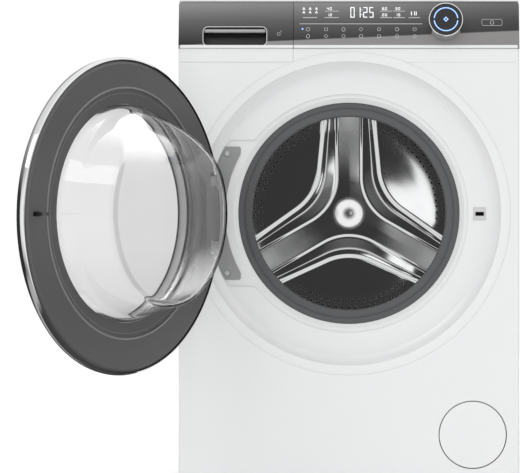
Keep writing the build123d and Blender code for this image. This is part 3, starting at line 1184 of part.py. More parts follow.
def hinge_notches():
    """Clear space round the two fixed knuckles and their arms."""
    for z in (-KNUCKLE_Z, KNUCKLE_Z):
        half = KNUCKLE_H / 2 + 3
        door_block(HINGE_X - 26, HINGE_X + ARM_OUT + ARM + 2, -HINGE_IN - KNUCKLE_R - 1.5, 3, z - half,
                   z + half, mode=Mode.SUBTRACT)


# Door shells: dark inner frame, bright trim ring and outer frame about the dropped ring centre
with BuildPart() as door_inner_frame:
    with BuildSketch(RING_SECTION):
        with BuildLine():
            Polyline((STEP_R - 13, 0), (FRAME_R - 6.5, 0), (FRAME_R, -5), (FRAME_R, -9), (FRAME_R - 3, -9),
                     (FRAME_R - 3, -6.5), (FRAME_R - 7.5, -DOOR_WALL), (STEP_R - 13, -DOOR_WALL),
                     close=True)
        make_face()
    revolve(axis=RING_AXIS)
    with BuildSketch(DOOR_FACE.offset(-5)):
        Circle(STEP_R)
    extrude(amount=20, mode=Mode.SUBTRACT)
    with BuildSketch(BOWL_SECTION):
        with BuildLine():
            Polyline((BOWL_R + 0.5, -4), (STEP_R - 1, -2), (STEP_R, 0), (STEP_R + 3, 0),
                     (STEP_R + 3, -DOOR_WALL), (STEP_R + 1, -DOOR_WALL), (STEP_R, -5), (BOWL_R + 3.5, -7),
                     (BOWL_R + 3.5, -COLLAR_END), (BOWL_R + 0.5, -COLLAR_END), close=True)
        make_face()
    revolve(axis=BOWL_AXIS)
    for z in (HOOK_Z - 9.0, HOOK_Z + 5.5):
        door_block(LOCK_X - 7.5, LOCK_X + 3, -COLLAR_END, -DOOR_WALL + 0.5, z, z + 3.5)
    door_post(2.5 + RUNNING, 0, LOCK_X - 2.3, -10, HOOK_Z - 12, HOOK_Z + 12, mode=Mode.SUBTRACT)
    door_block(LOCK_X - 9, LOCK_X + 7.5, -5, 5, HOOK_Z - HOOK_THICK / 2 - 1, HOOK_Z + HOOK_THICK / 2 + 1,
               mode=Mode.SUBTRACT)
    hinge_notches()
save(door_inner_frame, "door_inner_frame")

with BuildPart() as door_trim_ring:
    with BuildSketch(RING_SECTION):
        with BuildLine():
            ThreePointArc((FRAME_R + 0.3, -1.5), (TRIM_R, -OUTER_EDGE / 2), (OUTER_R + 0.3, -OUTER_EDGE))
            Line((OUTER_R + 0.3, -OUTER_EDGE), (OUTER_R + 0.3, -OUTER_EDGE + TRIM_WALL))
            ThreePointArc((OUTER_R + 0.3, -OUTER_EDGE + TRIM_WALL), (TRIM_R - TRIM_WALL, -OUTER_EDGE / 2),
                          (FRAME_R + 0.3, -1.5 - TRIM_WALL))
            Line((FRAME_R + 0.3, -1.5 - TRIM_WALL), (FRAME_R + 0.3, -1.5))
        make_face()
    revolve(axis=RING_AXIS)
    hinge_notches()
save(door_trim_ring, "door_trim_ring")

# The outer frame bends from its flat back to the trim, and has a box over the hinge
GRIP_IN = 42.5
GRIP_R = FRAME_R - GRIP_IN
BEND_RUN = OUTER_R - DOME_R
BEND_DROP = DOOR_THICK - OUTER_EDGE
BEND_R = (BEND_RUN**2 + BEND_DROP**2) / (2 * BEND_DROP)
BEND_N = BEND_R - DOOR_THICK
BEND_TURN = atan2(OUTER_EDGE + BEND_N, BEND_RUN)
HINGE_BOX = 80.0


def bend_point(radius, share):
    """Point on the bend at a share of its turn from the flat back to the trim edge."""
    turn = radians(90) + (BEND_TURN - radians(90)) * share
    return (DOME_R + radius * cos(turn), BEND_N - radius * sin(turn))


with BuildPart() as door_outer_frame:
    back_face = -DOOR_THICK + DOOR_WALL
    with BuildSketch(RING_SECTION):
        with BuildLine():
            Polyline(bend_point(BEND_R - DOOR_WALL, 0), (WINDOW_R - 22, back_face),
                     (WINDOW_R - 22, -DOOR_THICK), (DOME_R, -DOOR_THICK))
            ThreePointArc((DOME_R, -DOOR_THICK), bend_point(BEND_R, 0.5), bend_point(BEND_R, 1))
            Line(bend_point(BEND_R, 1), bend_point(BEND_R - DOOR_WALL, 1))
            ThreePointArc(bend_point(BEND_R - DOOR_WALL, 1), bend_point(BEND_R - DOOR_WALL, 0.5),
                          bend_point(BEND_R - DOOR_WALL, 0))
        make_face()
    revolve(axis=RING_AXIS)
    with BuildSketch(DOOR_FACE.offset(DOOR_THICK + 1)):
        Circle(WINDOW_R)
    extrude(amount=-DOOR_THICK, mode=Mode.SUBTRACT)
    with BuildSketch(BOWL_SECTION):
        with BuildLine():
            Polyline((BOWL_R + 3.5, back_face - 0.5), (FLANGE_R - 1, back_face - 0.5),
                     (FLANGE_R - 1, -COLLAR_END - GLASS), (BOWL_R + 3.5, -COLLAR_END - GLASS), close=True)
        make_face()
    revolve(axis=BOWL_AXIS)
    with BuildSketch(DOOR_FACE.offset(DOOR_THICK - 0.5)):
        with BuildLine(mode=Mode.PRIVATE) as grip:
            CenterArc((0, 0), GRIP_R, -13, 26)
        SlotArc(grip.wires()[0], height=26)
    extrude(amount=-16)
    with BuildSketch(DOOR_FACE.offset(DOOR_THICK + 1)):
        with BuildLine(mode=Mode.PRIVATE) as grip:
            CenterArc((0, 0), GRIP_R, -13, 26)
        SlotArc(grip.wires()[0], height=21)
    extrude(amount=-15, mode=Mode.SUBTRACT)
    side = HINGE_X - KNUCKLE_R - 4
    door_block(side, -DOME_R + 8, -DOOR_THICK, -OUTER_EDGE - 1, -HINGE_BOX, HINGE_BOX)
    inset = HINGE_BOX - DOOR_WALL
    door_block(side + DOOR_WALL, -FLANGE_R - 10, back_face, -OUTER_EDGE + 8,
               -inset, inset, mode=Mode.SUBTRACT)
    hinge_notches()
save(door_outer_frame, "door_outer_frame")

with BuildPart() as door_window:
    seat = -DOOR_THICK + DOOR_WALL
    edge = WINDOW_R - 4
    crown = 6.0
    bend = (edge**2 + crown**2) / (2 * crown)
    half_drop = bend - sqrt(bend**2 - edge**2 / 4)
    with BuildSketch(BOWL_SECTION):
        with BuildLine():
            Polyline((BOWL_R + 2, seat), (edge, seat))
            ThreePointArc((edge, seat), (edge / 2, seat - crown + half_drop), (0, seat - crown))
            Line((0, seat - crown), (0, seat - crown + DOOR_WALL))
            ThreePointArc((0, seat - crown + DOOR_WALL), (edge / 2, seat - crown + half_drop + DOOR_WALL),
                          (edge, seat + DOOR_WALL))
            Polyline((edge, seat + DOOR_WALL), (BOWL_R + 2, seat + DOOR_WALL), (BOWL_R + 2, seat))
        make_face()
    revolve(axis=BOWL_AXIS)
save(door_window, "door_window")

def bowl_body(skin, bend, inset):
    """Solid under one skin of the bowl, with its upper end bent back."""
    radius = BROW_R - inset
    middle = BOWL_DEPTH + 1 - BROW_R
    turn = radians(BROW_TURN)
    clear = 2 * BOWL_R
    foot = (middle + radius, BROW_UP)
    half = (middle + radius * cos(turn / 2), BROW_UP + radius * sin(turn / 2))
    knee = (middle + radius * cos(turn), BROW_UP + radius * sin(turn))
    brow = (knee[0] - BROW_RUN * sin(turn), knee[1] + BROW_RUN * cos(turn))
    with BuildPart(mode=Mode.PRIVATE) as body:
        with BuildSketch(BOWL_SECTION):
            with BuildLine():
                FilletPolyline(*skin, radius=bend)
                Polyline(skin[-1], (0, skin[0][1]), skin[0])
            make_face()
        revolve(axis=BOWL_AXIS)
        with BuildSketch(Plane(origin=DOOR_CENTRE, x_dir=INWARD, z_dir=ALONG)) as over:
            with BuildLine():
                ThreePointArc(foot, half, knee)
                Polyline(knee, brow, (brow[0], clear), (clear, clear), (clear, BROW_UP), foot)
            make_face()
        extrude(over.sketch, amount=clear, both=True, mode=Mode.SUBTRACT)
    return body.part


# Pressed glass bowl, its flange held between the two frames and its upper end bent back
with BuildPart() as door_bowl:
    door_flange = -COLLAR_END - GLASS
    with BuildSketch(BOWL_SECTION):
        with BuildLine():
            Polyline((0, door_flange), (FLANGE_R, door_flange), (FLANGE_R, -COLLAR_END), (0, -COLLAR_END),
                     close=True)
        make_face()
    revolve(axis=BOWL_AXIS)
    add(bowl_body([(BOWL_R, -COLLAR_END), (BOWL_R - 0.5, -2), (BOWL_R - 9, 16),
                   (BOWL_END_R, BOWL_DEPTH), (0, BOWL_DEPTH)], 8, 0))
    add(bowl_body([(BOWL_R - GLASS, door_flange), (BOWL_R - GLASS - 0.5, -3), (BOWL_R - GLASS - 9, 15),
                   (BOWL_END_R - GLASS + 0.3, BOWL_DEPTH - GLASS), (0, BOWL_DEPTH - GLASS)], 5, GLASS),
        mode=Mode.SUBTRACT)
save(door_bowl, "door_bowl")

with BuildPart() as door_hinge_leaf:
    half = KNUCKLE_Z / 2
    inside = -DOOR_THICK + DOOR_WALL
    door_block(HINGE_X + 8, HINGE_X + 42, inside, inside + 3, -half, half)
    door_block(HINGE_X, HINGE_X + 12, inside + 3, -HINGE_IN, -half, half)
    door_post(KNUCKLE_R, 0, HINGE_X, -HINGE_IN, -half, half)
    door_post(PIN_R + RUNNING, 0, HINGE_X, -HINGE_IN, -half - 1, half + 1, mode=Mode.SUBTRACT)
save(door_hinge_leaf, "door_hinge_leaf")

with BuildPart() as latch_hook:
    hook_base = DOOR_CENTRE + Vector(0, 0, HOOK_Z - HOOK_THICK / 2)
    with BuildSketch(Plane(origin=hook_base, x_dir=ALONG, z_dir=(0, 0, 1))):
        with BuildLine():
            Polyline((LOCK_X - 5, -13.5), (LOCK_X + 0.4, -13.5), (LOCK_X + 0.4, HOOK_REACH - 4.8),
                     (LOCK_X + 5.9, HOOK_REACH - 4.8), (LOCK_X + 5.9, HOOK_REACH - 3.3),
                     (LOCK_X + 1.5, HOOK_REACH), (LOCK_X - 5, HOOK_REACH), close=True)
        make_face()
    extrude(amount=HOOK_THICK)
    door_post(2.5, 0, LOCK_X - 2.3, -10, HOOK_Z - 9, HOOK_Z + 9)
save(latch_hook, "latch_hook")
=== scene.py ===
import json
from math import atan2, cos, exp, hypot, pi, radians, sin, tan
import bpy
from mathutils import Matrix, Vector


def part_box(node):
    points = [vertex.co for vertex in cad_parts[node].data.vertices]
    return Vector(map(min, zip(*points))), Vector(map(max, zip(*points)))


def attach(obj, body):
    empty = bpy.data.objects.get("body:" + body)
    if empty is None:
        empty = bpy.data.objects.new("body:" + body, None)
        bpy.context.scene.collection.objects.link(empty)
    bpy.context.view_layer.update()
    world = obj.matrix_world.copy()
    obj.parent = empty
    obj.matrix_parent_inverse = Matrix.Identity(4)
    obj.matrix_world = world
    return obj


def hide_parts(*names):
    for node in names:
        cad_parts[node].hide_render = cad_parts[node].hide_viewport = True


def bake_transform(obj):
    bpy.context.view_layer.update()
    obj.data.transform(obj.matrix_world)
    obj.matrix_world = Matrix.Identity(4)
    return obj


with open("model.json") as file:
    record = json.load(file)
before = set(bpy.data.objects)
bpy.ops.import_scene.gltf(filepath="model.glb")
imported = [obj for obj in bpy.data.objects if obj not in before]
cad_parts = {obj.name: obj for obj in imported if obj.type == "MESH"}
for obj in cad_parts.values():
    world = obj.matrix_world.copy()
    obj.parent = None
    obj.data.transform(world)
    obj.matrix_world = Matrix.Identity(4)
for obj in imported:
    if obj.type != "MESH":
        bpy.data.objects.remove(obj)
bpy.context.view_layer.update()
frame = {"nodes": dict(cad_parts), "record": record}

from types import SimpleNamespace

import bmesh
import bpy
from mathutils import Vector

bl_info = {
    "name": "Front load washing machine looks",
    "version": (1, 0, 0),
    "blender": (4, 5, 0),
    "location": "View3D > Sidebar > Washer",
    "description": "Dresses the packed washing machine with finishes and fine pieces",
    "category": "Object",
}


def middle(name):
    """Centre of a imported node's box."""
    low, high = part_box(name)
    return (Vector(low) + Vector(high)) / 2


# Places, in metres and radians
MM = 0.001
UP = Vector((0.0, 0.0, 1.0))
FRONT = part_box("front_panel")[0][1]
AXIS_Z = middle("gasket").z
TRIM_TOP = 0.769
FACE_TOP = 0.845
TILT = radians(9.5)
FACE_OUT = Vector((0.0, -cos(TILT), sin(TILT)))
FACE_UP = Vector((0.0, sin(TILT), cos(TILT)))
DOOR_OPEN = radians(122.0)
ALONG = Vector((cos(DOOR_OPEN), -sin(DOOR_OPEN), 0.0))
INWARD = Vector((sin(DOOR_OPEN), cos(DOOR_OPEN), 0.0))
HINGE = Vector((*middle("hinge_pin").xy, AXIS_Z))
HINGE_TO_FACE = 0.025
DOOR_CENTRE = HINGE - ALONG * HINGE.x + INWARD * HINGE_TO_FACE

# Sizes and places of the pieces, in millimetres and radians
RING_DROP = 5.0
BOWL_DEPTH = 91.0
BOWL_GLASS = 5.0
BROW_R = 128.0
BROW_UP = 40.0
BROW_TURN = radians(48.0)
BROW_EDGE = 5.0
DIAL_X = middle("dial_cap").x / MM
KEY_X = middle("power_key").x / MM
FACE_MIDDLE = 808.5
PULL_X = -199.0
PULL_Z = 784.0
MARK_LIFT = 0.05
MARK_THICK = 0.12


def on_front(x, depth, z):
    """A point so far across, behind the front panel and above the floor, in millimetres."""
    return Vector((x * MM, FRONT + depth * MM, z * MM))


def on_fascia(x, z, lift=0.0):
    """A point on the tilted control face, raised along its normal by lift, all in millimetres."""
    return Vector((x * MM, FRONT + (z * MM - TRIM_TOP) * tan(TILT), z * MM)) + FACE_OUT * lift * MM


def on_face(x, z, lift=0.0):
    """A place function for plates on the control face about (x, z)."""
    return lambda u, v, up: on_fascia(x + u, z + v, lift + up)


def on_dial():
    """A place function for plates on top of the dial's cap."""
    base = on_fascia(DIAL_X, FACE_MIDDLE)
    top = max((vertex.co - base).dot(FACE_OUT) for vertex in frame["nodes"]["dial_cap"].data.vertices)
    base += FACE_OUT * (top + 0.03 * MM)
    return lambda u, v, up: base + Vector((u * MM, 0.0, 0.0)) + FACE_UP * v * MM + FACE_OUT * up * MM


def on_drum(r, angle, depth):
    """A point about the drum's axis, depth millimetres behind the front panel."""
    return Vector((r * cos(angle) * MM, FRONT + depth * MM, AXIS_Z + r * sin(angle) * MM))


def on_door(r, angle, inward):
    """A point about the door's middle, inward millimetres from its inner face."""
    return DOOR_CENTRE + (INWARD * inward + (ALONG * cos(angle) + UP * sin(angle)) * r) * MM


def on_ring(r, angle, inward):
    """A point about the middle of the door's trim ring, which lies below the glass's."""
    return on_door(r, angle, inward) - UP * RING_DROP * MM


def on_bowl(r, angle, inward, inset):
    """A point on one skin of the bowl, pressed onto the bent-back upper end with a soft edge."""
    point = on_door(r, angle, inward)
    ahead = inward - (BOWL_DEPTH + 1.0 - BROW_R)
    rise = r * sin(angle) - BROW_UP
    turn = min(max(atan2(rise, ahead), 0.0), BROW_TURN)
    over = ahead * cos(turn) + rise * sin(turn) - (BROW_R - inset)
    if over <= -BROW_EDGE:
        return point
    press = over if over > BROW_EDGE else (over + BROW_EDGE) ** 2 / (4 * BROW_EDGE)
    return point - (INWARD * cos(turn) + UP * sin(turn)) * press * MM


# Meshes

def add_piece(name, mesh, material, body, hides=()):
    """Link a mesh as a piece on a body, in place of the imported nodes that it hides."""
    mesh.name = name
    piece = bpy.data.objects.new(name, mesh)
    bpy.context.scene.collection.objects.link(piece)
    if material is not None:
        mesh.materials.append(FINISHES[material])
    if body:
        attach(piece, body)
    if hides:
        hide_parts(*hides)
    return piece


def new_mesh(verts, faces, angle=35.0, merge=False):
    """A smooth mesh with its faces turned outwards, sharp at bends over the angle in degrees."""
    mesh = bpy.data.meshes.new("Piece")
    mesh.from_pydata([tuple(vert) for vert in verts], [], faces)
    grown = bmesh.new()
    grown.from_mesh(mesh)
    if merge:
        bmesh.ops.remove_doubles(grown, verts=grown.verts, dist=1e-6)
    bmesh.ops.recalc_face_normals(grown, faces=grown.faces)
    grown.to_mesh(mesh)
    grown.free()
    mesh.shade_smooth()
    mesh.set_sharp_from_angle(angle=radians(angle))
    return mesh


def quads(rows, count, first=0, close_rows=False, close_points=False):
    """Faces between neighbouring rows of count vertices each; either way may close on itself."""
    faces = []
    for row in range(rows if close_rows else rows - 1):
        here = first + row * count
        there = first + (row + 1) % rows * count
        for k in range(count if close_points else count - 1):
            after = (k + 1) % count
            faces.append((here + k, here + after, there + after, there + k))
    return faces


def lathe(profile, place, steps=192, closed=False, angle=35.0):
    """A surface turned from (radius, height) points; place(r, angle, height) gives each vertex."""
    turns = [2 * pi * step / steps for step in range(steps)]
    verts = [place(r, turn, *rest) for turn in turns for r, *rest in profile]
    faces = quads(steps, len(profile), close_rows=True, close_points=closed)
    return new_mesh(verts, faces, angle, merge=True)


def spin(profile, place, spans, angle=35.0):
    """Open lengths of a turned surface over (start, end, steps) spans in degrees."""
    verts = []
    faces = []
    for start, end, steps in spans:
        faces += quads(steps + 1, len(profile), len(verts))
        turns = [radians(start + (end - start) * step / steps) for step in range(steps + 1)]
        verts += [place(r, turn, height) for turn in turns for r, height in profile]
    return new_mesh(verts, faces, angle)


def half_round(ends, steps, place, capped=False):
    """A half-round strip between two ends; place(x, turn) gives each vertex."""
    verts = [place(x, pi * k / (steps - 1)) for x in ends for k in range(steps)]
    faces = quads(2, steps)
    if capped:
        faces += [tuple(range(steps)), tuple(range(steps, 2 * steps))]
    return new_mesh(verts, faces, 40.0)


def ring_plate(outer, inner, place, thick=MARK_THICK):
    """A flat frame between two loops of equal count, or a plate where inner is None."""
    count = len(outer)
    verts = [place(u, v, up) for up in (thick, 0.0) for u, v in outer]
    faces = quads(2, count, close_points=True)
    if inner is None:
        faces.append(tuple(range(count)))
    else:
        verts += [place(u, v, up) for up in (thick, 0.0) for u, v in inner]
        for k in range(count):
            after = (k + 1) % count
            faces.append((k, after, 2 * count + after, 2 * count + k))
            faces.append((2 * count + k, 2 * count + after, 3 * count + after, 3 * count + k))
    return new_mesh(verts, faces, 30.0)


def join_meshes(meshes):
    """One mesh from several."""
    grown = bmesh.new()
    for mesh in meshes:
        grown.from_mesh(mesh)
        bpy.data.meshes.remove(mesh)
    joined = bpy.data.meshes.new("Piece")
    grown.to_mesh(joined)
    grown.free()
    joined.shade_smooth()
    joined.set_sharp_from_angle(angle=radians(35))
    return joined


# Outlines, as pairs

def rounded(points, radius, steps):
    """A polyline with its inner corners rounded."""
    out = [points[0]]
    for before, corner, after in zip(points, points[1:], points[2:]):
        a = Vector(before)
        b = Vector(corner)
        c = Vector(after)
        reach = min(radius, (a - b).length * 0.45, (c - b).length * 0.45)
        start = b + (a - b).normalized() * reach
        end = b + (c - b).normalized() * reach
        for k in range(steps + 1):
            t = k / steps
            out.append(tuple(start * (1 - t) ** 2 + b * 2 * t * (1 - t) + end * t ** 2))
    out.append(points[-1])
    return out


def mix(a, b, t):
    """The point at share t of the way between two pairs."""
    return (a[0] + (b[0] - a[0]) * t, a[1] + (b[1] - a[1]) * t)


def refined(points, reach):
    """The same polyline with no length much over reach."""
    out = [points[0]]
    for a, b in zip(points, points[1:]):
        count = max(1, round(hypot(b[0] - a[0], b[1] - a[1]) / reach))
        out += [mix(a, b, k / count) for k in range(1, count + 1)]
    return out


def outline(width, height, radius, steps=6):
    """Corner-rounded rectangle about the origin."""
    points = []
    for side, level, start in ((1, 1, 0), (-1, 1, 90), (-1, -1, 180), (1, -1, 270)):
        for k in range(steps + 1):
            turn = radians(start + 90 * k / steps)
            points.append((side * (width / 2 - radius) + radius * cos(turn),
                           level * (height / 2 - radius) + radius * sin(turn)))
    return points


def regular(sides, radius):
    """Regular polygon about the origin with a corner at its top."""
    turns = [radians(90 + 360 * k / sides) for k in range(sides)]
    return [(radius * cos(turn), radius * sin(turn)) for turn in turns]


def bent_bar(start, sweep, inner, outer, steps=40):
    """Outline of a bar bent about the origin from start degrees."""
    turns = [radians(start + sweep * k / steps) for k in range(steps + 1)]
    there = [(outer * cos(turn), outer * sin(turn)) for turn in turns]
    return there + [(inner * cos(turn), inner * sin(turn)) for turn in reversed(turns)]


# Node trees

class Graph:
    """Short ways to add and join the nodes of one tree."""

    def __init__(self, tree):
        self.nodes = tree.nodes
        self.links = tree.links

    def node(self, kind, feeds=None, **settings):
        """A new node; feeds gives each input a value or the socket that feeds it."""
        node = self.nodes.new(kind)
        for name, value in settings.items():
            setattr(node, name, value)
        for key, value in (feeds or {}).items():
            if isinstance(value, bpy.types.NodeSocket):
                self.links.new(value, node.inputs[key])
            else:
                node.inputs[key].default_value = value
        return node

    def math(self, operation, *terms):
        """A sum, product or other operation on numbers."""
        return self.node("ShaderNodeMath", dict(enumerate(terms)), operation=operation).outputs[0]

    def vector(self, operation, *terms):
        """The same for vectors."""
        node = self.node("ShaderNodeVectorMath", dict(enumerate(terms)), operation=operation)
        return node.outputs["Value" if operation in ("DOT_PRODUCT", "LENGTH") else "Vector"]

    def scaled(self, colour, scale):
        """A colour times a number."""
        return self.node("ShaderNodeVectorMath", {0: colour, "Scale": scale}, operation="SCALE").outputs[0]

    def split(self, vector):
        """The outputs X, Y and Z of a vector."""
        return self.node("ShaderNodeSeparateXYZ", {0: vector}).outputs

    def ranged(self, source, low, high, first=0.0, last=1.0):
        """The source's range from low to high, laid on first to last."""
        feeds = {"Value": source, "From Min": low, "From Max": high, "To Min": first, "To Max": last}
        return self.node("ShaderNodeMapRange", feeds).outputs["Result"]

    def blend(self, share, a, b):
        """A colour between a and b."""
        feeds = {"Factor": share, "A": a, "B": b}
        return self.node("ShaderNodeMix", feeds, data_type="RGBA").outputs["Result"]

    def ramp(self, source, stops):
        """A colour ramp through (position, colour) stops."""
        node = self.node("ShaderNodeValToRGB", {"Fac": source})
        elements = node.color_ramp.elements
        for element, (position, tone) in zip(elements, (stops[0], stops[-1])):
            element.position = position
            element.color = (*tone, 1.0)
        for position, tone in stops[1:-1]:
            elements.new(position).color = (*tone, 1.0)
        return node.outputs["Color"]


def fine_surface():
    """Shared group: uneven tone and gloss and a fine bump for paint, plastic, rubber and metal."""
    group = bpy.data.node_groups.get("Fine surface")
    if group:
        return group
    group = bpy.data.node_groups.new("Fine surface", "ShaderNodeTree")
    for name, kind, value in (("Tone", "Color", (0.8, 0.8, 0.8, 1.0)), ("Shade", "Float", 0.04),
                              ("Gloss", "Float", 0.3), ("Gloss range", "Float", 0.05),
                              ("Scale", "Float", 900.0), ("Bump", "Float", 0.02),
                              ("Stretch", "Vector", (1.0, 1.0, 1.0))):
        socket = group.interface.new_socket(name, in_out="INPUT", socket_type="NodeSocket" + kind)
        socket.default_value = value
    for name, kind in (("Tone", "Color"), ("Gloss", "Float"), ("Normal", "Vector")):
        group.interface.new_socket(name, in_out="OUTPUT", socket_type="NodeSocket" + kind)
    graph = Graph(group)
    entry = graph.node("NodeGroupInput").outputs
    coords = graph.node("ShaderNodeTexCoord").outputs["Object"]
    place = graph.vector("MULTIPLY", coords, entry["Stretch"])
    grain = graph.node("ShaderNodeTexNoise", {"Vector": place, "Scale": entry["Scale"], "Detail": 3.0})
    cloud = graph.node("ShaderNodeTexNoise", {"Vector": place, "Scale": 9.0, "Detail": 4.0})
    uneven = graph.math("SUBTRACT", graph.math("ADD", grain.outputs["Fac"], cloud.outputs["Fac"]), 1.0)
    tone = graph.scaled(entry["Tone"], graph.math("MULTIPLY_ADD", uneven, entry["Shade"], 1.0))
    gloss = graph.math("MULTIPLY_ADD", uneven, entry["Gloss range"], entry["Gloss"])
    feeds = {"Height": grain.outputs["Fac"], "Strength": entry["Bump"], "Distance": MM}
    normal = graph.node("ShaderNodeBump", feeds).outputs["Normal"]
    graph.node("NodeGroupOutput", {"Tone": tone, "Gloss": gloss, "Normal": normal})
    return group


# Finishes

def finish(name, tone, shade=0.03, gloss=0.35, gloss_range=0.05, scale=900.0, bump=0.02, stretch=(1, 1, 1),
           metallic=0.0, coat=0.0, coat_gloss=0.1, anisotropic=0.0, specular=0.5):
    """A procedural finish on the shared surface group; constants sit on the shader's own sockets."""
    material = bpy.data.materials.new(name)
    material.use_nodes = True
    shader = material.node_tree.nodes["Principled BSDF"]
    for socket, value in (("Metallic", metallic), ("Coat Weight", coat), ("Coat Roughness", coat_gloss),
                          ("Anisotropic", anisotropic), ("Specular IOR Level", specular)):
        shader.inputs[socket].default_value = value
    graph = Graph(material.node_tree)
    feeds = {"Tone": (*tone, 1.0), "Shade": shade, "Gloss": gloss, "Gloss range": gloss_range, "Scale": scale,
             "Bump": bump, "Stretch": stretch}
    surface = graph.node("ShaderNodeGroup", feeds, node_tree=fine_surface())
    for source, socket in (("Tone", "Base Color"), ("Gloss", "Roughness"), ("Normal", "Normal")):
        graph.links.new(surface.outputs[source], shader.inputs[socket])
    return material


def varied(material):
    """A finish's graph, the inputs of its surface group and the piece's coordinates."""
    graph = Graph(material.node_tree)
    surface = next(node for node in graph.nodes if node.type == "GROUP")
    return graph, surface.inputs, graph.node("ShaderNodeTexCoord").outputs["Object"]


def glass_finish(name, tone, rough, ior):
    """Clear glass."""
    material = finish(name, tone, 0.01, rough, 0.004, 40.0, 0.0, specular=0.15)
    shader = material.node_tree.nodes["Principled BSDF"]
    shader.inputs["Transmission Weight"].default_value = 1.0
    shader.inputs["IOR"].default_value = ior
    return material


def bowl_finish(name):
    """Clear wall, with painted shade: darker in the end, in a ring on the rolled edge and towards the lowest
    part.
    """
    material = glass_finish(name, (0.92, 0.92, 0.922), 0.005, 1.42)
    graph, surface, coords = varied(material)
    local = graph.vector("SUBTRACT", coords, DOOR_CENTRE)
    inward = graph.vector("DOT_PRODUCT", local, INWARD)
    reach = graph.vector("LENGTH", graph.vector("CROSS_PRODUCT", local, INWARD))
    # Painted shade: the end, a ring on its rolled edge and the lowest part are made darker
    end = graph.ranged(inward, (BOWL_DEPTH - 14.0) * MM, (BOWL_DEPTH - 6.0) * MM, 0.89, 0.80)
    low = graph.ranged(graph.split(local)["Z"], -0.16, -0.05, 0.88, 1.0)
    inside = graph.ranged(reach, 0.143, 0.146, 1.0, 0.0)
    wall = graph.ranged(inward, (BOWL_DEPTH - 6.0) * MM, (BOWL_DEPTH - 4.5) * MM, 1.0, 0.0)
    edge = graph.ranged(graph.math("MAXIMUM", inside, wall), 0.0, 1.0, 0.62, 1.0)
    tone = graph.math("MULTIPLY", graph.math("MULTIPLY", end, low), edge)
    graph.links.new(tone, surface["Tone"])
    return material


def glow(name, tone, strength):
    """A lit marking."""
    material = finish(name, tone, shade=0.02, gloss=0.4)
    shader = material.node_tree.nodes["Principled BSDF"]
    shader.inputs["Emission Color"].default_value = (*tone, 1.0)
    shader.inputs["Emission Strength"].default_value = strength
    return material


def fascia_finish(name):
    """Brushed dark metal with painted reflection: paler towards the top, darker towards the right and a pale
    slanted stripe at the foot.
    """
    material = finish(name, (0.1, 0.1, 0.1), shade=0.10, gloss=0.34, gloss_range=0.10, scale=60.0, bump=0.05,
                      stretch=(0.35, 8.0, 8.0), metallic=0.55, anisotropic=0.5)
    graph, surface, coords = varied(material)
    place = graph.split(coords)
    # Painted reflection: the ramp makes the face paler towards its top, and it fades towards the right
    stops = ((0.0, (0.016, 0.016, 0.017)), (0.55, (0.10, 0.10, 0.102)), (1.0, (0.24, 0.24, 0.245)))
    painted_sheen_by_height = graph.ramp(graph.ranged(place["Z"], TRIM_TOP, FACE_TOP), stops)
    painted_sheen_fading_right = graph.scaled(painted_sheen_by_height, graph.ranged(place["X"], 0.02, 0.28, 1.0, 0.62))
    # Painted reflection: a pale stripe along a slanted line at the foot
    slant = graph.math("MULTIPLY_ADD", place["X"], -0.0435, -0.7812)
    painted_reflection_band = graph.ranged(graph.math("ADD", place["Z"], slant), 0.001, -0.001)
    graph.links.new(graph.blend(painted_reflection_band, painted_sheen_fading_right, (0.27, 0.265, 0.262, 1.0)), surface["Tone"])
    return material


def arm_finish(name):
    """Polished near the hub and more and more matt towards the rim."""
    material = finish(name, (0.72, 0.725, 0.73), 0.03, 0.055, 0.02, 40.0, 0.0, metallic=1.0)
    graph, surface, coords = varied(material)
    across = graph.vector("MULTIPLY_ADD", coords, (1.0, 0.0, 1.0), (0.0, 0.0, -AXIS_Z))
    gloss = graph.ranged(graph.vector("LENGTH", across), 0.06, 0.19, 0.055, 0.34)
    graph.links.new(gloss, surface["Gloss"])
    return material


def lock_finish(name):
    """Pale face plate, with painted shade: near black inside its slot."""
    pale = (0.62, 0.62, 0.63)
    material = finish(name, pale, 0.02, 0.4, 0.05)
    graph, surface, coords = varied(material)
    # Painted shade: faces deeper than the plate's front turn near black
    depth = graph.ranged(graph.split(coords)["Y"], FRONT + 0.0236, FRONT + 0.0244)
    graph.links.new(graph.blend(depth, (*pale, 1.0), (0.01, 0.01, 0.01, 1.0)), surface["Tone"])
    return material


FINISHES = {}
OWN_FINISH = {"latch_hook": "hook_metal", "door_lock": "lock_face"}
METAL = {"metallic": 1.0}

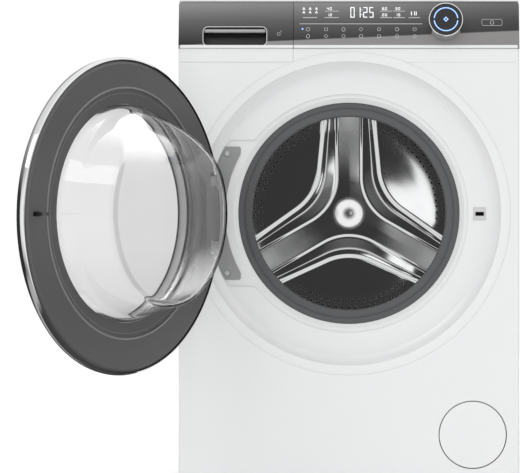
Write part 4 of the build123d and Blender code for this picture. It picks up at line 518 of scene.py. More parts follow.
# Slot, label, tone or colour setting; shade, gloss, gloss range, grain scale and bump; what else differs
PLAIN_FINISHES = (
    ("white_enamel", "White enamel", "enamel", (0.012, 0.30, 0.05, 1400.0, 0.012),
     {"coat": 0.35, "coat_gloss": 0.12}),
    ("white_plastic", "White plastic", "enamel", (0.012, 0.33, 0.05, 1200.0, 0.015), {"coat": 0.2}),
    ("worktop_laminate", "Pale laminate", (0.80, 0.805, 0.81), (0.03, 0.38, 0.08, 1600.0, 0.04), {}),
    ("galvanised_steel", "Galvanised steel", (0.60, 0.61, 0.62), (0.22, 0.38, 0.18, 120.0, 0.03),
     {"metallic": 0.9}),
    ("grey_moulding", "Grey moulding", (0.42, 0.43, 0.44), (0.05, 0.5, 0.08, 700.0, 0.05), {}),
    ("circuit_board", "Circuit board", (0.03, 0.16, 0.07), (0.25, 0.45, 0.1, 300.0, 0.05), {}),
    ("drawer_plastic", "Drawer plastic", (0.74, 0.75, 0.76), (0.02, 0.35, 0.05, 900.0, 0.02), {}),
    ("black_plastic", "Black plastic", (0.012, 0.012, 0.013), (0.08, 0.32, 0.08, 1100.0, 0.03), {}),
    ("cast_grey", "Cast alloy", (0.35, 0.352, 0.355), (0.35, 0.48, 0.15, 420.0, 0.12), {"metallic": 0.5}),
    ("gasket_rubber", "Gasket rubber", "rubber", (0.06, 0.58, 0.08, 1300.0, 0.05), {}),
    ("spring_steel", "Spring steel", (0.40, 0.41, 0.42), (0.1, 0.35, 0.1, 500.0, 0.03), {"metallic": 0.9}),
    ("concrete", "Concrete", (0.42, 0.42, 0.41), (0.35, 0.85, 0.1, 260.0, 0.35), {}),
    ("motor_steel", "Motor steel", (0.20, 0.20, 0.21), (0.12, 0.45, 0.1, 420.0, 0.05), {"metallic": 0.8}),
    ("stainless", "Stainless sheet", (0.70, 0.705, 0.71), (0.04, 0.11, 0.03, 60.0, 0.002), METAL),
    ("drum_mirror", "Polished drum back", (0.72, 0.725, 0.73), (0.03, 0.055, 0.02, 40.0, 0.0), METAL),
    ("rim_satin", "Hole rim", (0.6, 0.6, 0.6), (0.03, 0.36, 0.04, 60.0, 0.0), METAL),
    ("hub_satin", "Satin hub", (0.93, 0.93, 0.93), (0.03, 0.12, 0.03, 60.0, 0.0), METAL),
    ("hook_metal", "Hook metal", (0.10, 0.10, 0.10), (0.1, 0.3, 0.1, 200.0, 0.02), {"metallic": 0.8}),
    ("lifter_plastic", "Lifter plastic", (0.42, 0.43, 0.44), (0.04, 0.4, 0.06, 900.0, 0.03), {}),
    ("frame_grey", "Door frame grey", "door_frame", (0.06, 0.36, 0.06, 1500.0, 0.03), {}),
    ("bright_trim", "Bright trim", (0.86, 0.865, 0.87), (0.02, 0.07, 0.03, 60.0, 0.004), METAL),
    ("foot_plastic", "Foot plastic", (0.05, 0.05, 0.05), (0.08, 0.6, 0.08, 700.0, 0.06), {}),
    ("mark_grey", "Printed marking", (0.60, 0.60, 0.60), (0.04, 0.45, 0.05), {}),
    ("lip_metal", "Pull lip", (0.42, 0.42, 0.42), (0.06, 0.34, 0.08, 60.0, 0.02),
     {"stretch": (0.3, 8, 8), "metallic": 0.6}),
    ("seam_grey", "Seam", (0.60, 0.605, 0.61), (0.03, 0.5, 0.05), {}),
    ("frame_line_painted_highlight", "Frame line with painted highlight", (0.20, 0.20, 0.205), (0.05, 0.3, 0.05), {}),
    ("recess_edge_painted_shade", "Painted recess edge shade", (0.66, 0.67, 0.68), (0.02, 0.5, 0.05), {}),
    ("groove_dark", "Painted hole shade", (0.02, 0.02, 0.02), (0.1, 0.7, 0.1), {}),
)


# Settings

def length_setting(name, description, default):
    """A setting in metres from its default in millimetres."""
    return bpy.props.FloatProperty(name=name, description=description, default=default * MM, precision=4,
                                   unit="LENGTH")


def angle_setting(name, description, default):
    """A setting in radians from its default in degrees."""
    return bpy.props.FloatProperty(name=name, description=description, default=radians(default),
                                   subtype="ANGLE")


def colour_setting(name, description, default):
    """A colour setting."""
    return bpy.props.FloatVectorProperty(name=name, description=description, default=default, size=3, min=0.0,
                                         max=1.0, subtype="COLOR")


def number_setting(name, description, default):
    """A setting without a unit."""
    return bpy.props.FloatProperty(name=name, description=description, default=default, precision=5)


def millimetres(settings):
    """A plain copy of a settings group, with its lengths in millimetres."""
    plain = SimpleNamespace()
    for name in type(settings).__annotations__:
        unit = settings.bl_rna.properties[name].unit
        setattr(plain, name, getattr(settings, name) / (MM if unit == "LENGTH" else 1.0))
    return plain


class WasherColourSettings(bpy.types.PropertyGroup):
    """Colours of the parts that show most."""
    enamel: colour_setting("Enamel", "White of the cabinet's sheet and plastic", (0.84, 0.845, 0.85))
    door_frame: colour_setting("Door frame", "Grey of the door's inner frame", (0.093, 0.093, 0.095))
    rubber: colour_setting("Rubber", "Grey of the gasket and the hoses", (0.095, 0.097, 0.10))
    light: colour_setting("Light", "Colour of the dial's and the programme's light", (0.25, 0.42, 0.95))


class WasherDrumSettings(bpy.types.PropertyGroup):
    """Shape of the pressed drum back and its holes."""
    rim: length_setting("Outer radius", "Radius of the sheet", 243.0)
    base_depth: length_setting("Sheet depth", "Depth of the flat sheet behind the front panel", 392.6)
    inner_offset: length_setting("Arm half width", "Distance of an arm's edge from its middle line", 24.0)
    outer_corner: length_setting("Outer corner", "Distance of the outer ridge's corner from the axis", 79.4)
    outer_half: angle_setting("Outer half opening", "Angle of the outer ridge to its sector's middle", 65.6)
    bend: length_setting("Corner radius", "Radius of the ridges' rounded corners", 98.0)
    outer_width: length_setting("Outer ridge width", "Width over which the outer ridge falls", 13.0)
    outer_fall: length_setting("Outer ridge fall", "Fall across the outer ridge", 1.25)
    inner_width: length_setting("Inner ridge width", "Width over which the inner ridge falls", 8.5)
    inner_fall: length_setting("Inner ridge fall", "Fall across the inner ridge", 0.85)
    groove: length_setting("Groove slope", "Fall between the two ridges at a sector's middle", 1.7)
    bead: length_setting("Crease bead", "Height of the bead in the groove", 0.2)
    arm_rise: length_setting("Arm rise", "Rise of an arm towards the rim", 1.2)
    dish: number_setting("Dish near the rim", "Curvature near the rim, for each millimetre", 0.00077)
    dish_from: length_setting("Dish begins", "Radius at which the sheet begins to dish", 150.0)
    hole: length_setting("Hole radius", "Radius of the holes in the back", 2.6)
    pitch: length_setting("Hole pitch", "Distance between holes of a row", 12.6)
    spread: angle_setting("Hole spread", "Angle of a row of holes to each side of its middle", 39.0)


class WasherStageSettings(bpy.types.PropertyGroup):
    """Camera and light levels."""
    distance: length_setting("Camera distance", "Distance of the camera from the front panel", 3500.0)
    lens: bpy.props.FloatProperty(name="Lens", description="Focal length", default=138.9, unit="CAMERA")
    shift_x: number_setting("Shift across", "Sideways shift of the lens", -0.171)
    shift_y: number_setting("Shift up", "Upward shift of the lens", -0.0446)
    fill: number_setting("Fill light", "Strength of the soft light from all round", 0.815)


class WasherFinishes(bpy.types.Operator):
    """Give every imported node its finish"""
    bl_idname = "washer.finishes"
    bl_label = "Finishes"

    def execute(self, context):
        colours = context.scene.washer_colours
        for slot, label, tone, surface, more in PLAIN_FINISHES:
            tone = getattr(colours, tone) if isinstance(tone, str) else tone
            FINISHES[slot] = finish(label, tone, *surface, **more)
        FINISHES["brushed_dark"] = fascia_finish("Brushed dark face with painted sheen")
        FINISHES["drum_arms"] = arm_finish("Brushed drum arms")
        FINISHES["window_clear"] = glass_finish("Window pane", (0.91, 0.91, 0.912), 0.02, 1.2)
        FINISHES["bowl_glass"] = bowl_finish("Bowl glass")
        FINISHES["mark_white"] = glow("Lit marking", (0.92, 0.93, 0.94), 0.35)
        FINISHES["mark_blue"] = glow("Blue light", colours.light, 1.2)
        FINISHES["lock_face"] = lock_finish("Lock face with painted slot shade")
        slots = {row["node"]: row["material_slot"] for row in frame["record"]["subparts"]}
        for name, node in frame["nodes"].items():
            node.data.materials.clear()
            node.data.materials.append(FINISHES[OWN_FINISH.get(name, slots[name])])
        return {"FINISHED"}


# Drum back: three sectors between the arms, each made of rows from the rim to the arm's middle

SECTORS = (radians(30), radians(150), radians(270))
HALF_SECTOR = radians(60)
SHEET_COLUMNS = 113
FLAT_ROWS = 6
OUTER_ROWS = 10
GROOVE_ROWS = 15
INNER_ROWS = 8
ARM_ROWS = 9
BEND_SHARE = 0.4
DISH_WIDTH = 45.0
GROOVE_REACH = 90.0
CREASE_AT = 0.2
CREASE_WIDTH = 0.06
RISE_FROM = 60.0
RISE_WIDTH = 127.0
BACK_HOLE_RADII = (184.0, 171.0)
SHELL_RADIUS = 243.2
SHELL_HOLE_ROWS = 13
SHELL_HOLES_ROUND = 60
SHELL_HOLES_FROM = 104.0
SHELL_HOLE_PITCH = 22.0
SHELL_HOLE_SCALE = 1.2
HOLE_BEAD = 0.35
HOLE_LIFT = 0.25
HUB_RADIUS = 30.0
HUB_RISE = 3.2
HUB_FRONT = 387.6
HUB_EDGE = [(30.5, 392.0), (31.2, 396.0)]


def ease(t):
    """Smooth rise from 0 to 1 whose slope is greatest half way."""
    return t - sin(2 * pi * t) / (2 * pi)


class Rail:
    """A rounded corner on a sector's middle line with a leg to each side, out to the drum's rim."""

    def __init__(self, corner, half, bend, inset, rim):
        self.half = half
        self.bend = max(0.0, bend + inset)
        self.centre = corner + bend / sin(half) if bend else corner
        self.start = (self.centre - self.bend * sin(half), self.bend * cos(half))
        along = self.start[0] * cos(half) + self.start[1] * sin(half)
        self.leg = -along + (along ** 2 - self.start[0] ** 2 - self.start[1] ** 2 + rim ** 2) ** 0.5

    def point(self, t):
        """The point at t, from -1 at one end of the rail to 1 at the other."""
        side = -1 if t < 0 else 1
        t = abs(t)
        if t < BEND_SHARE:
            turn = (pi / 2 - self.half) * t / BEND_SHARE
            return (self.centre - self.bend * cos(turn), side * self.bend * sin(turn))
        reach = self.leg * (t - BEND_SHARE) / (1 - BEND_SHARE)
        return (self.start[0] + reach * cos(self.half), side * (self.start[1] + reach * sin(self.half)))


def star_rows(s):
    """Rows across one sector from the rim to the arm's middle, each a point and a height function."""

    def outer(inset):
        return Rail(s.outer_corner, s.outer_half, s.bend, inset, s.rim)

    def inner(inset):
        return Rail(s.inner_offset / sin(HALF_SECTOR), HALF_SECTOR, s.bend, inset, s.rim)

    def sag(v):
        return s.groove * exp(-((v / GROOVE_REACH) ** 2))

    def between(first, last, share):
        return lambda t: mix(first(t), last(t), share)

    edge = outer(0.0)
    end = edge.point(1.0)
    span = atan2(end[1], end[0])

    def round_rim(t):
        return (s.rim * cos(span * t), s.rim * sin(span * t))

    rows = []
    for k in range(FLAT_ROWS):
        rows.append((between(edge.point, round_rim, 1 - k / FLAT_ROWS), lambda x, v: 0.0))
    for k in range(OUTER_ROWS + 1):
        share = k / OUTER_ROWS
        rows.append((outer(s.outer_width * share).point,
                     lambda x, v, share=share: -s.outer_fall * ease(share)))
    half_band = s.inner_width / 2
    near = outer(s.outer_width)
    far = inner(-half_band)
    for k in range(1, GROOVE_ROWS):
        share = k / GROOVE_ROWS
        bead = s.bead * exp(-(((share - CREASE_AT) / CREASE_WIDTH) ** 2))
        rows.append((between(near.point, far.point, share),
                     lambda x, v, share=share, bead=bead: -s.outer_fall - sag(v) * share + bead))
    for k in range(INNER_ROWS + 1):
        share = k / INNER_ROWS
        rows.append((inner(s.inner_width * share - half_band).point,
                     lambda x, v, share=share: -s.outer_fall - sag(v) - s.inner_fall * ease(share)))
    last = inner(half_band)
    axis = Rail(0.0, HALF_SECTOR, 0.0, 0.0, s.rim)
    for k in range(1, ARM_ROWS + 1):
        share = k / ARM_ROWS

        def trough(x, v, share=share):
            rise = s.arm_rise * max(0.0, (hypot(x, v) - RISE_FROM) / RISE_WIDTH) ** 2
            return -s.outer_fall - sag(v) - s.inner_fall + rise * (1 - (1 - share) ** 2)
        rows.append((between(last.point, axis.point, share), trough))
    return rows


def dished(s, r):
    """Forward lift of the drum back near its rim, in millimetres."""
    near = min(max(0.0, r - s.dish_from), DISH_WIDTH)
    return s.dish * near ** 2 + 2 * s.dish * near * max(0.0, r - s.dish_from - DISH_WIDTH)


def hole_tree(turned):
    """Geometry nodes: a dark disc of painted shade in a pressed rim on every point, facing the front or the
    drum's axis.
    """
    tree = bpy.data.node_groups.new("Holes", "GeometryNodeTree")
    for name, kind in (("Geometry", "Geometry"), ("Radius", "Float"), ("Dark", "Material"),
                       ("Rim", "Material")):
        tree.interface.new_socket(name, in_out="INPUT", socket_type="NodeSocket" + kind)
    tree.interface.new_socket("Geometry", in_out="OUTPUT", socket_type="NodeSocketGeometry")
    graph = Graph(tree)
    entry = graph.node("NodeGroupInput").outputs
    feeds = {"Vertices": 14, "Radius": entry["Radius"]}
    disc = graph.node("GeometryNodeMeshCircle", feeds, fill_type="NGON").outputs["Mesh"]
    feeds = {"Resolution": 14, "Radius": entry["Radius"]}
    loop = graph.node("GeometryNodeCurvePrimitiveCircle", feeds).outputs["Curve"]
    feeds = {"Resolution": 5, "Radius": HOLE_BEAD * MM}
    bead = graph.node("GeometryNodeCurvePrimitiveCircle", feeds).outputs["Curve"]
    tube = graph.node("GeometryNodeCurveToMesh", {"Curve": loop, "Profile Curve": bead}).outputs["Mesh"]
    both = graph.node("GeometryNodeJoinGeometry")
    for shape, material in ((disc, "Dark"), (tube, "Rim")):
        made = graph.node("GeometryNodeSetMaterial", {"Geometry": shape, "Material": entry[material]})
        graph.links.new(made.outputs["Geometry"], both.inputs["Geometry"])
    way = (0.0, -1.0, 0.0)
    if turned:
        place = graph.node("GeometryNodeInputPosition").outputs[0]
        local = graph.vector("SUBTRACT", place, (0.0, 0.0, AXIS_Z))
        way = graph.vector("MULTIPLY", local, (-1.0, 0.0, -1.0))
    aim = graph.node("FunctionNodeAlignRotationToVector", {"Vector": way}, axis="Z").outputs["Rotation"]
    spots = graph.node("GeometryNodeMeshToPoints", {"Mesh": entry["Geometry"]}).outputs["Points"]
    feeds = {"Points": spots, "Instance": both.outputs["Geometry"], "Rotation": aim}
    holes = graph.node("GeometryNodeInstanceOnPoints", feeds).outputs["Instances"]
    real = graph.node("GeometryNodeRealizeInstances", {"Geometry": holes}).outputs["Geometry"]
    graph.node("NodeGroupOutput", {"Geometry": real})
    return tree


def scatter_holes(name, points, radius, turned):
    """One piece on the drum with a hole at every point."""
    seed = bpy.data.meshes.new(name + "_points")
    seed.from_pydata([tuple(point) for point in points], [], [])
    carrier = bpy.data.objects.new(name + "_points", seed)
    bpy.context.scene.collection.objects.link(carrier)
    tree = hole_tree(turned)
    modifier = carrier.modifiers.new("Holes", "NODES")
    modifier.node_group = tree
    # The dark discs are painted shade: they stand for the dark gap seen through each hole
    values = {"Radius": radius * MM, "Dark": FINISHES["groove_dark"], "Rim": FINISHES["rim_satin"]}
    for item in tree.interface.items_tree:
        if item.in_out == "INPUT" and item.name in values:
            modifier[item.identifier] = values[item.name]
    graph = bpy.context.evaluated_depsgraph_get()
    mesh = bpy.data.meshes.new_from_object(carrier.evaluated_get(graph))
    bpy.data.objects.remove(carrier)
    add_piece(name, mesh, None, "drum")


class WasherDrumBack(bpy.types.Operator):
    """Make the pressed star of the drum back with its rows of holes"""
    bl_idname = "washer.drum_back"
    bl_label = "Drum back"

    def sheet(self, s, rows):
        """The given rows of all three sectors as one mesh."""
        verts = []
        faces = []
        for sector in SECTORS:
            faces += quads(len(rows), SHEET_COLUMNS, len(verts))
            for place, height in rows:
                for column in range(SHEET_COLUMNS):
                    x, v = place(2 * column / (SHEET_COLUMNS - 1) - 1)
                    r = hypot(x, v)
                    lift = height(x, v) + dished(s, r)
                    verts.append(on_drum(r, atan2(v, x) + sector, s.base_depth - lift))
        return new_mesh(verts, faces, 60.0, merge=True)

    def holes(self, s):
        """Two rows on each sector of the back, and staggered rows all round the shell."""
        back = []
        step = s.pitch / BACK_HOLE_RADII[0]
        count = int(s.spread / step)
        for row, r in enumerate(BACK_HOLE_RADII):
            for sector in SECTORS:
                for k in range(-count, count + row):
                    turn = sector + (k + 0.5 * row) * step
                    back.append(on_drum(r, turn, s.base_depth - dished(s, r) - HOLE_LIFT))
        scatter_holes("drum_back_holes", back, s.hole, False)
        shell = []
        for row in range(SHELL_HOLE_ROWS):
            for k in range(SHELL_HOLES_ROUND):
                turn = 2 * pi * (k + 0.5 * (row % 2)) / SHELL_HOLES_ROUND
                shell.append(on_drum(SHELL_RADIUS, turn, SHELL_HOLES_FROM + SHELL_HOLE_PITCH * row))
        scatter_holes("drum_shell_holes", shell, s.hole * SHELL_HOLE_SCALE, True)

    def execute(self, context):
        s = millimetres(context.scene.washer_drum)
        rows = star_rows(s)
        back = self.sheet(s, rows[:-ARM_ROWS])
        add_piece("drum_back_sheet", back, "drum_mirror", "drum", ("drum_back",))
        arms = self.sheet(s, rows[-ARM_ROWS - 1:])
        add_piece("drum_arms", arms, "drum_arms", "drum")
        self.holes(s)
        ball = (HUB_RADIUS ** 2 + HUB_RISE ** 2) / (2 * HUB_RISE)
        radii = [HUB_RADIUS * k / 24 for k in range(25)]
        dome = [(r, HUB_FRONT + ball - (ball ** 2 - r ** 2) ** 0.5) for r in radii]
        hub = lathe(dome + HUB_EDGE, on_drum, 96)
        add_piece("drum_hub_dome", hub, "hub_satin", "drum", ("hub_cap",))
        return {"FINISHED"}


# Markings of the control strip, in millimetres across and above the floor

SEGMENTS = {"0": "abcdef", "1": "bc", "2": "abged", "3": "abgcd", "4": "fgbc", "5": "afgcd", "6": "afgedc"}
TIME_DIGITS = (("0", 2.6), ("1", 13.0), ("2", 25.0), ("5", 35.6))
TIME_Z = 817.2
TIME_SIZE = (7.4, 18.6, 1.5)
TIME_DOTS = ((22.2, 821.6, 23.6, 823.0), (22.2, 830.0, 23.6, 831.4))
SMALL_NUMBERS = (("40", -38.5, 830.6), ("12", -38.5, 819.6), ("60", 58.0, 830.6), ("20", 58.0, 819.6),
                 ("30", 81.0, 830.6), ("15", 81.0, 819.6))
SMALL_SIZE = (3.6, 4.8, 0.8)
SMALL_PITCH = 5.0
STACK_X = (-78.8, -67.8, -56.8)
STACK_Z = (833.4, 827.0)
STACK_BARS = ((2.4, -2.0, -1.0), (1.6, -0.4, 0.8), (0.8, 1.2, 2.2))
LEVEL_BARS = ((108.6, 110.2), (114.0, 115.4), (117.0, 118.4))
RULES = ((-80.6, -55.8), (-42.4, -17.6), (54.7, 75.2), (77.4, 97.9), (104.4, 124.3))
LONG_RULE = (-86.0, 805.6, 128.1, 806.6)
SIGN_X = (-71.5, -40.0, -9.4, 21.2, 52.6, 84.1, 114.7)
SIGN_Z = (796.4, 784.2)
SIGN_SIZE = 3.4
LIGHT_SPOT = (-81.0, 797.0)
DRAWER_SIGN = ((1, -122.6, 788.0, 3.0), (0, -118.6, 792.4, 1.5))
PULL_LINER = (-0.6, -21.4)
LIP_ENDS = (-252.0, -146.0)
LIP_Z = 794.4
BEAD_Z = 765.4
BEADS = (("drawer_bead", (-294.2, -97.5), "drawer"), ("fascia_bead", (-96.4, 294.2), "cabinet"))
ARC_STARTS = (6.0, 186.0)
ARC_SWEEP = 168.0
ARC_RADII = (19.6, 21.4)
KEY_TOP = 0.42
CREASE = ((97.5, 738.2), (291.0, 738.2), (291.0, 738.8), (97.5, 738.8))


def bars(rects):
    """Thin plates on the control face from (x0, z0, x1, z1) rows."""
    verts = []
    faces = []
    for x0, z0, x1, z1 in rects:
        k = len(verts)
        for up in (MARK_LIFT, MARK_LIFT + MARK_THICK):
            verts += [on_fascia(x, z, up) for x, z in ((x0, z0), (x1, z0), (x1, z1), (x0, z1))]
        faces += [(k + 4, k + 5, k + 6, k + 7), (k, k + 1, k + 5, k + 4), (k + 1, k + 2, k + 6, k + 5),
                  (k + 2, k + 3, k + 7, k + 6), (k + 3, k, k + 4, k + 7)]
    return new_mesh(verts, faces, 20.0)


def digit(mark, x, z, width, height, stroke):
    """Bars of a seven segment digit with its lower left corner at (x, z)."""
    gap = stroke * 0.2
    mid = z + height / 2
    top = z + height
    right = x + width
    rows = {"a": (x + gap, top - stroke, right - gap, top), "d": (x + gap, z, right - gap, z + stroke),
            "g": (x + gap, mid - stroke / 2, right - gap, mid + stroke / 2),
            "f": (x, mid + gap, x + stroke, top - gap), "b": (right - stroke, mid + gap, right, top - gap),
            "e": (x, z + gap, x + stroke, mid - gap), "c": (right - stroke, z + gap, right, mid - gap)}
    return [rows[key] for key in SEGMENTS[mark]]


def icon(index, x, z, size):
    """Outline of a plain sign: ring, square, drop, diamond or hexagon."""
    ring = regular(24, size)
    drop = [(u * (1 - 0.35 * max(0.0, v / size)), v * 1.1) for u, v in ring]
    square = outline(size * 1.8, size * 1.6, size * 0.3, 3)
    shapes = (ring, square, drop, regular(4, size * 1.1), regular(6, size))
    shape = shapes[index % len(shapes)]
    return ring_plate(shape, [(u * 0.8, v * 0.8) for u, v in shape], on_face(x, z, MARK_LIFT))


class WasherControls(bpy.types.Operator):
    """Make the markings, trims and lights of the control strip"""
    bl_idname = "washer.controls"
    bl_label = "Controls"

    def display(self):
        """Digits, small signs and rules of the display."""
        lit = []
        for mark, x in TIME_DIGITS:
            lit += digit(mark, x, TIME_Z, *TIME_SIZE)
        lit += TIME_DOTS
        for marks, x, z in SMALL_NUMBERS:
            for k, mark in enumerate(marks):
                lit += digit(mark, x + SMALL_PITCH * k, z, *SMALL_SIZE)
        for z in STACK_Z:
            for x in STACK_X:
                lit += [(x - half, z + low, x + half, z + high) for half, low, high in STACK_BARS]
        lit += [(x0, 821.2, x1, 828.0) for x0, x1 in LEVEL_BARS]
        add_piece("display_digits", bars(lit), "mark_white", "cabinet")
        rules = [(x0, 816.6, x1, 817.8) for x0, x1 in RULES]
        rules += [(x0, 828.2, x1, 829.2) for x0, x1 in RULES[1:4]]
        rules.append(LONG_RULE)
        add_piece("display_lines", bars(rules), "mark_grey", "cabinet")

    def signs(self):
        """Two rows of programme signs, the light beside them and the drawer's own sign."""
        signs = []
        for row, z in enumerate(SIGN_Z):
            signs += [icon(k + 2 * row, x, z, SIGN_SIZE) for k, x in enumerate(SIGN_X)]
        mesh = join_meshes(signs)
        add_piece("programme_signs", mesh, "mark_grey", "cabinet")
        spot = ring_plate(regular(20, 1.5), None, on_face(*LIGHT_SPOT, MARK_LIFT), 0.3)
        add_piece("programme_light", spot, "mark_blue", "cabinet")
        sign = join_meshes([icon(*row) for row in DRAWER_SIGN])
        add_piece("drawer_sign", sign, "mark_grey", "drawer")

    def pull(self):
        """Rim, liner and lip of the drawer's pull."""
        rim = ring_plate(outline(112.4, 34.4, 9.2), outline(110.4, 32.4, 8.2),
                         on_face(PULL_X, PULL_Z, 0.02), 0.5)
        add_piece("pull_rim", rim, "bright_trim", "drawer")
        loop = outline(109.2, 31.2, 7.6)
        verts = [on_fascia(PULL_X + u, PULL_Z + v, up) for up in PULL_LINER for u, v in loop]
        faces = quads(2, len(loop), close_points=True)
        faces.append(tuple(range(len(loop), len(verts))))
        liner = new_mesh(verts, faces, 30.0)
        add_piece("pull_liner", liner, "black_plastic", "drawer")

        def lip_point(x, turn):
            return on_fascia(x, LIP_Z + 3.6 * cos(turn), -3.2 + 2.2 * sin(turn))
        lip = half_round(LIP_ENDS, 9, lip_point)
        add_piece("pull_lip", lip, "lip_metal", "drawer")

    def beads(self):
        """The bead under the strip, on the drawer and on the cabinet."""
        def bead_point(x, turn):
            return on_front(x, -1.3 * sin(turn) + 0.05, BEAD_Z - 3.2 * cos(turn))
        for name, ends, body in BEADS:
            bead = half_round(ends, 11, bead_point, capped=True)
            add_piece(name, bead, "white_plastic", body)

    def execute(self, context):
        self.display()
        self.signs()
        self.pull()
        self.beads()
        cap = on_dial()
        arcs = [ring_plate(bent_bar(start, ARC_SWEEP, *ARC_RADII), None, cap) for start in ARC_STARTS]
        add_piece("dial_light", join_meshes(arcs), "mark_blue", "dial")
        mark = ring_plate(regular(4, 4.6), regular(4, 2.4), cap)
        add_piece("dial_mark", mark, "mark_blue", "dial")
        top = on_face(KEY_X, FACE_MIDDLE, KEY_TOP)
        marks = [ring_plate(outline(36.0, 11.6, 3.2), outline(34.8, 10.4, 2.6), top),
                 ring_plate(regular(24, 3.6), regular(24, 2.9), top)]
        add_piece("key_marks", join_meshes(marks), "mark_grey", "power_key")
        crease = new_mesh([on_front(x, -0.04, z) for x, z in CREASE], [(0, 1, 2, 3)], 20.0)
        add_piece("panel_crease", crease, "seam_grey", "cabinet")
        return {"FINISHED"}


# Door: (radius, inward) profiles in millimetres, with spans in degrees round the ring

BOWL_OUTSIDE = ((189.3, -14.0), (177.5, -14.0), (177.0, -2.0), (168.5, 16.0), (150.0, BOWL_DEPTH),
                (0.0, BOWL_DEPTH))
BOWL_INSIDE = ((0.0, BOWL_DEPTH - BOWL_GLASS), (145.3, BOWL_DEPTH - BOWL_GLASS), (163.5, 15.0), (172.0, -3.0),
               (172.5, -19.0), (189.3, -19.0))
TRIM_PROFILE = ((254.8, -1.5), (256.9, -2.4), (258.9, -9.5), (257.6, -16.6), (248.4, -18.0))
TRIM_SPANS = ((195.6 - 360.0, 164.0, 300), (169.5, 190.0, 24))
LINE_SPANS = ((-160.0, 160.0, 220),)
RECESS_BEAD = ((279.2, 0.25), (279.8, -0.35), (280.6, -0.6), (281.3, -0.45), (281.8, 0.05))
RECESS_SPANS = ((110.7 - 360.0, 109.3, 254),)
RECESS_LINE = ((281.7, -0.04), (282.6, -0.04))
LINER_PROFILE = ((176.9, -19.2), (175.0, -30.0), (171.6, -35.6))


class WasherDoor(bpy.types.Operator):
    """Make the smooth glass, trim and lines of the door"""
    bl_idname = "washer.door"
    bl_label = "Door"

    def execute(self, context):
        skins = [(*point, 0.0) for point in refined(rounded(BOWL_OUTSIDE, 9.0, 8), 3.0)]
        skins += [(*point, BOWL_GLASS) for point in refined(rounded(BOWL_INSIDE, 6.0, 8), 3.0)]
        bowl = lathe(skins, on_bowl, 256, closed=True, angle=50.0)
        add_piece("door_bowl_glass", bowl, "bowl_glass", "door", ("door_bowl",))
        trim = spin(rounded(TRIM_PROFILE, 2.0, 6), on_ring, TRIM_SPANS, 60.0)
        add_piece("door_trim_smooth", trim, "bright_trim", "door", ("door_trim_ring",))
        # Two real raised lines on the frame, in a lighter grey that paints their highlight
        lines = []
        turns = [pi * k / 10 for k in range(11)]
        for r, inward, half in ((204.0, 0.0, 1.7), (195.4, -2.4, 0.5)):
            profile = [(r + half * cos(turn), inward + 0.6 * sin(turn)) for turn in turns]
            lines.append(spin(profile, on_door, LINE_SPANS, 60.0))
        add_piece("door_lines", join_meshes(lines), "frame_line_painted_highlight", "door")
        bead = spin(RECESS_BEAD, on_drum, RECESS_SPANS)
        add_piece("recess_bead", bead, "white_enamel", "cabinet")
        # A thin grey ring flat on the panel: the recess's outer edge is real, its shade line is painted
        line = lathe(RECESS_LINE, on_drum, 256)
        add_piece("recess_line", line, "recess_edge_painted_shade", "cabinet")
        liner = lathe(LINER_PROFILE, on_door)
        add_piece("window_liner", liner, "white_plastic", "door")
        return {"FINISHED"}


# Rubber: the gasket's (radius, depth) profile in millimetres, and the hoses' ribs in metres

GASKET_PROFILE = ((194.6, 36.0), (186.4, 36.0), (184.6, 38.0), (182.6, 36.0), (172.2, 34.0), (170.0, 36.6),
                  (170.0, 43.0), (173.0, 49.0), (186.0, 53.0), (196.7, 61.0), (196.7, 74.0), (199.7, 74.0),
                  (199.7, 59.5), (187.0, 50.0), (175.3, 46.6), (173.0, 42.5), (173.0, 38.0), (182.0, 39.0),
                  (184.5, 41.6), (187.0, 39.0), (194.6, 39.0))
HOSE_BEND = 0.030
HOSE_STEP = 0.0011
HOSE_SIDES = 40
PLAIN_END = 0.016
RIB_PITCH = 0.0075
RIB_DEPTH = 0.0009


def upright(name):
    """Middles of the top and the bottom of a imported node's box."""
    low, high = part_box(name)
    centre = middle(name)
    return Vector((*centre.xy, high[2])), Vector((*centre.xy, low[2]))


def bellows(name, legs, radius, hides):
    """A ribbed hose through straight legs in one upright plane, with plain ends."""
    line = []
    for start, end in legs:
        count = max(1, int((end - start).length / HOSE_STEP))
        line += [start.lerp(end, k / count) for k in range(count)]
    line.append(legs[-1][1])
    total = sum((b - a).length for a, b in zip(line, line[1:]))
    across = Vector((0.0, 1.0, 0.0))
    turns = [2 * pi * step / HOSE_SIDES for step in range(HOSE_SIDES)]
    verts = []
    along = 0.0
    for k, point in enumerate(line):
        after = line[min(k + 1, len(line) - 1)]
        other = across.cross((after - line[max(k - 1, 0)]).normalized())
        plain = min(along, total - along) < PLAIN_END
        rib = 0.0 if plain else RIB_DEPTH * (1 - cos(2 * pi * along / RIB_PITCH))
        verts += [point + (across * cos(turn) + other * sin(turn)) * (radius - rib) for turn in turns]
        along += (after - point).length
    mesh = new_mesh(verts, quads(len(line), HOSE_SIDES, close_points=True), 60.0)
    return add_piece(name, mesh, "gasket_rubber", None, hides)


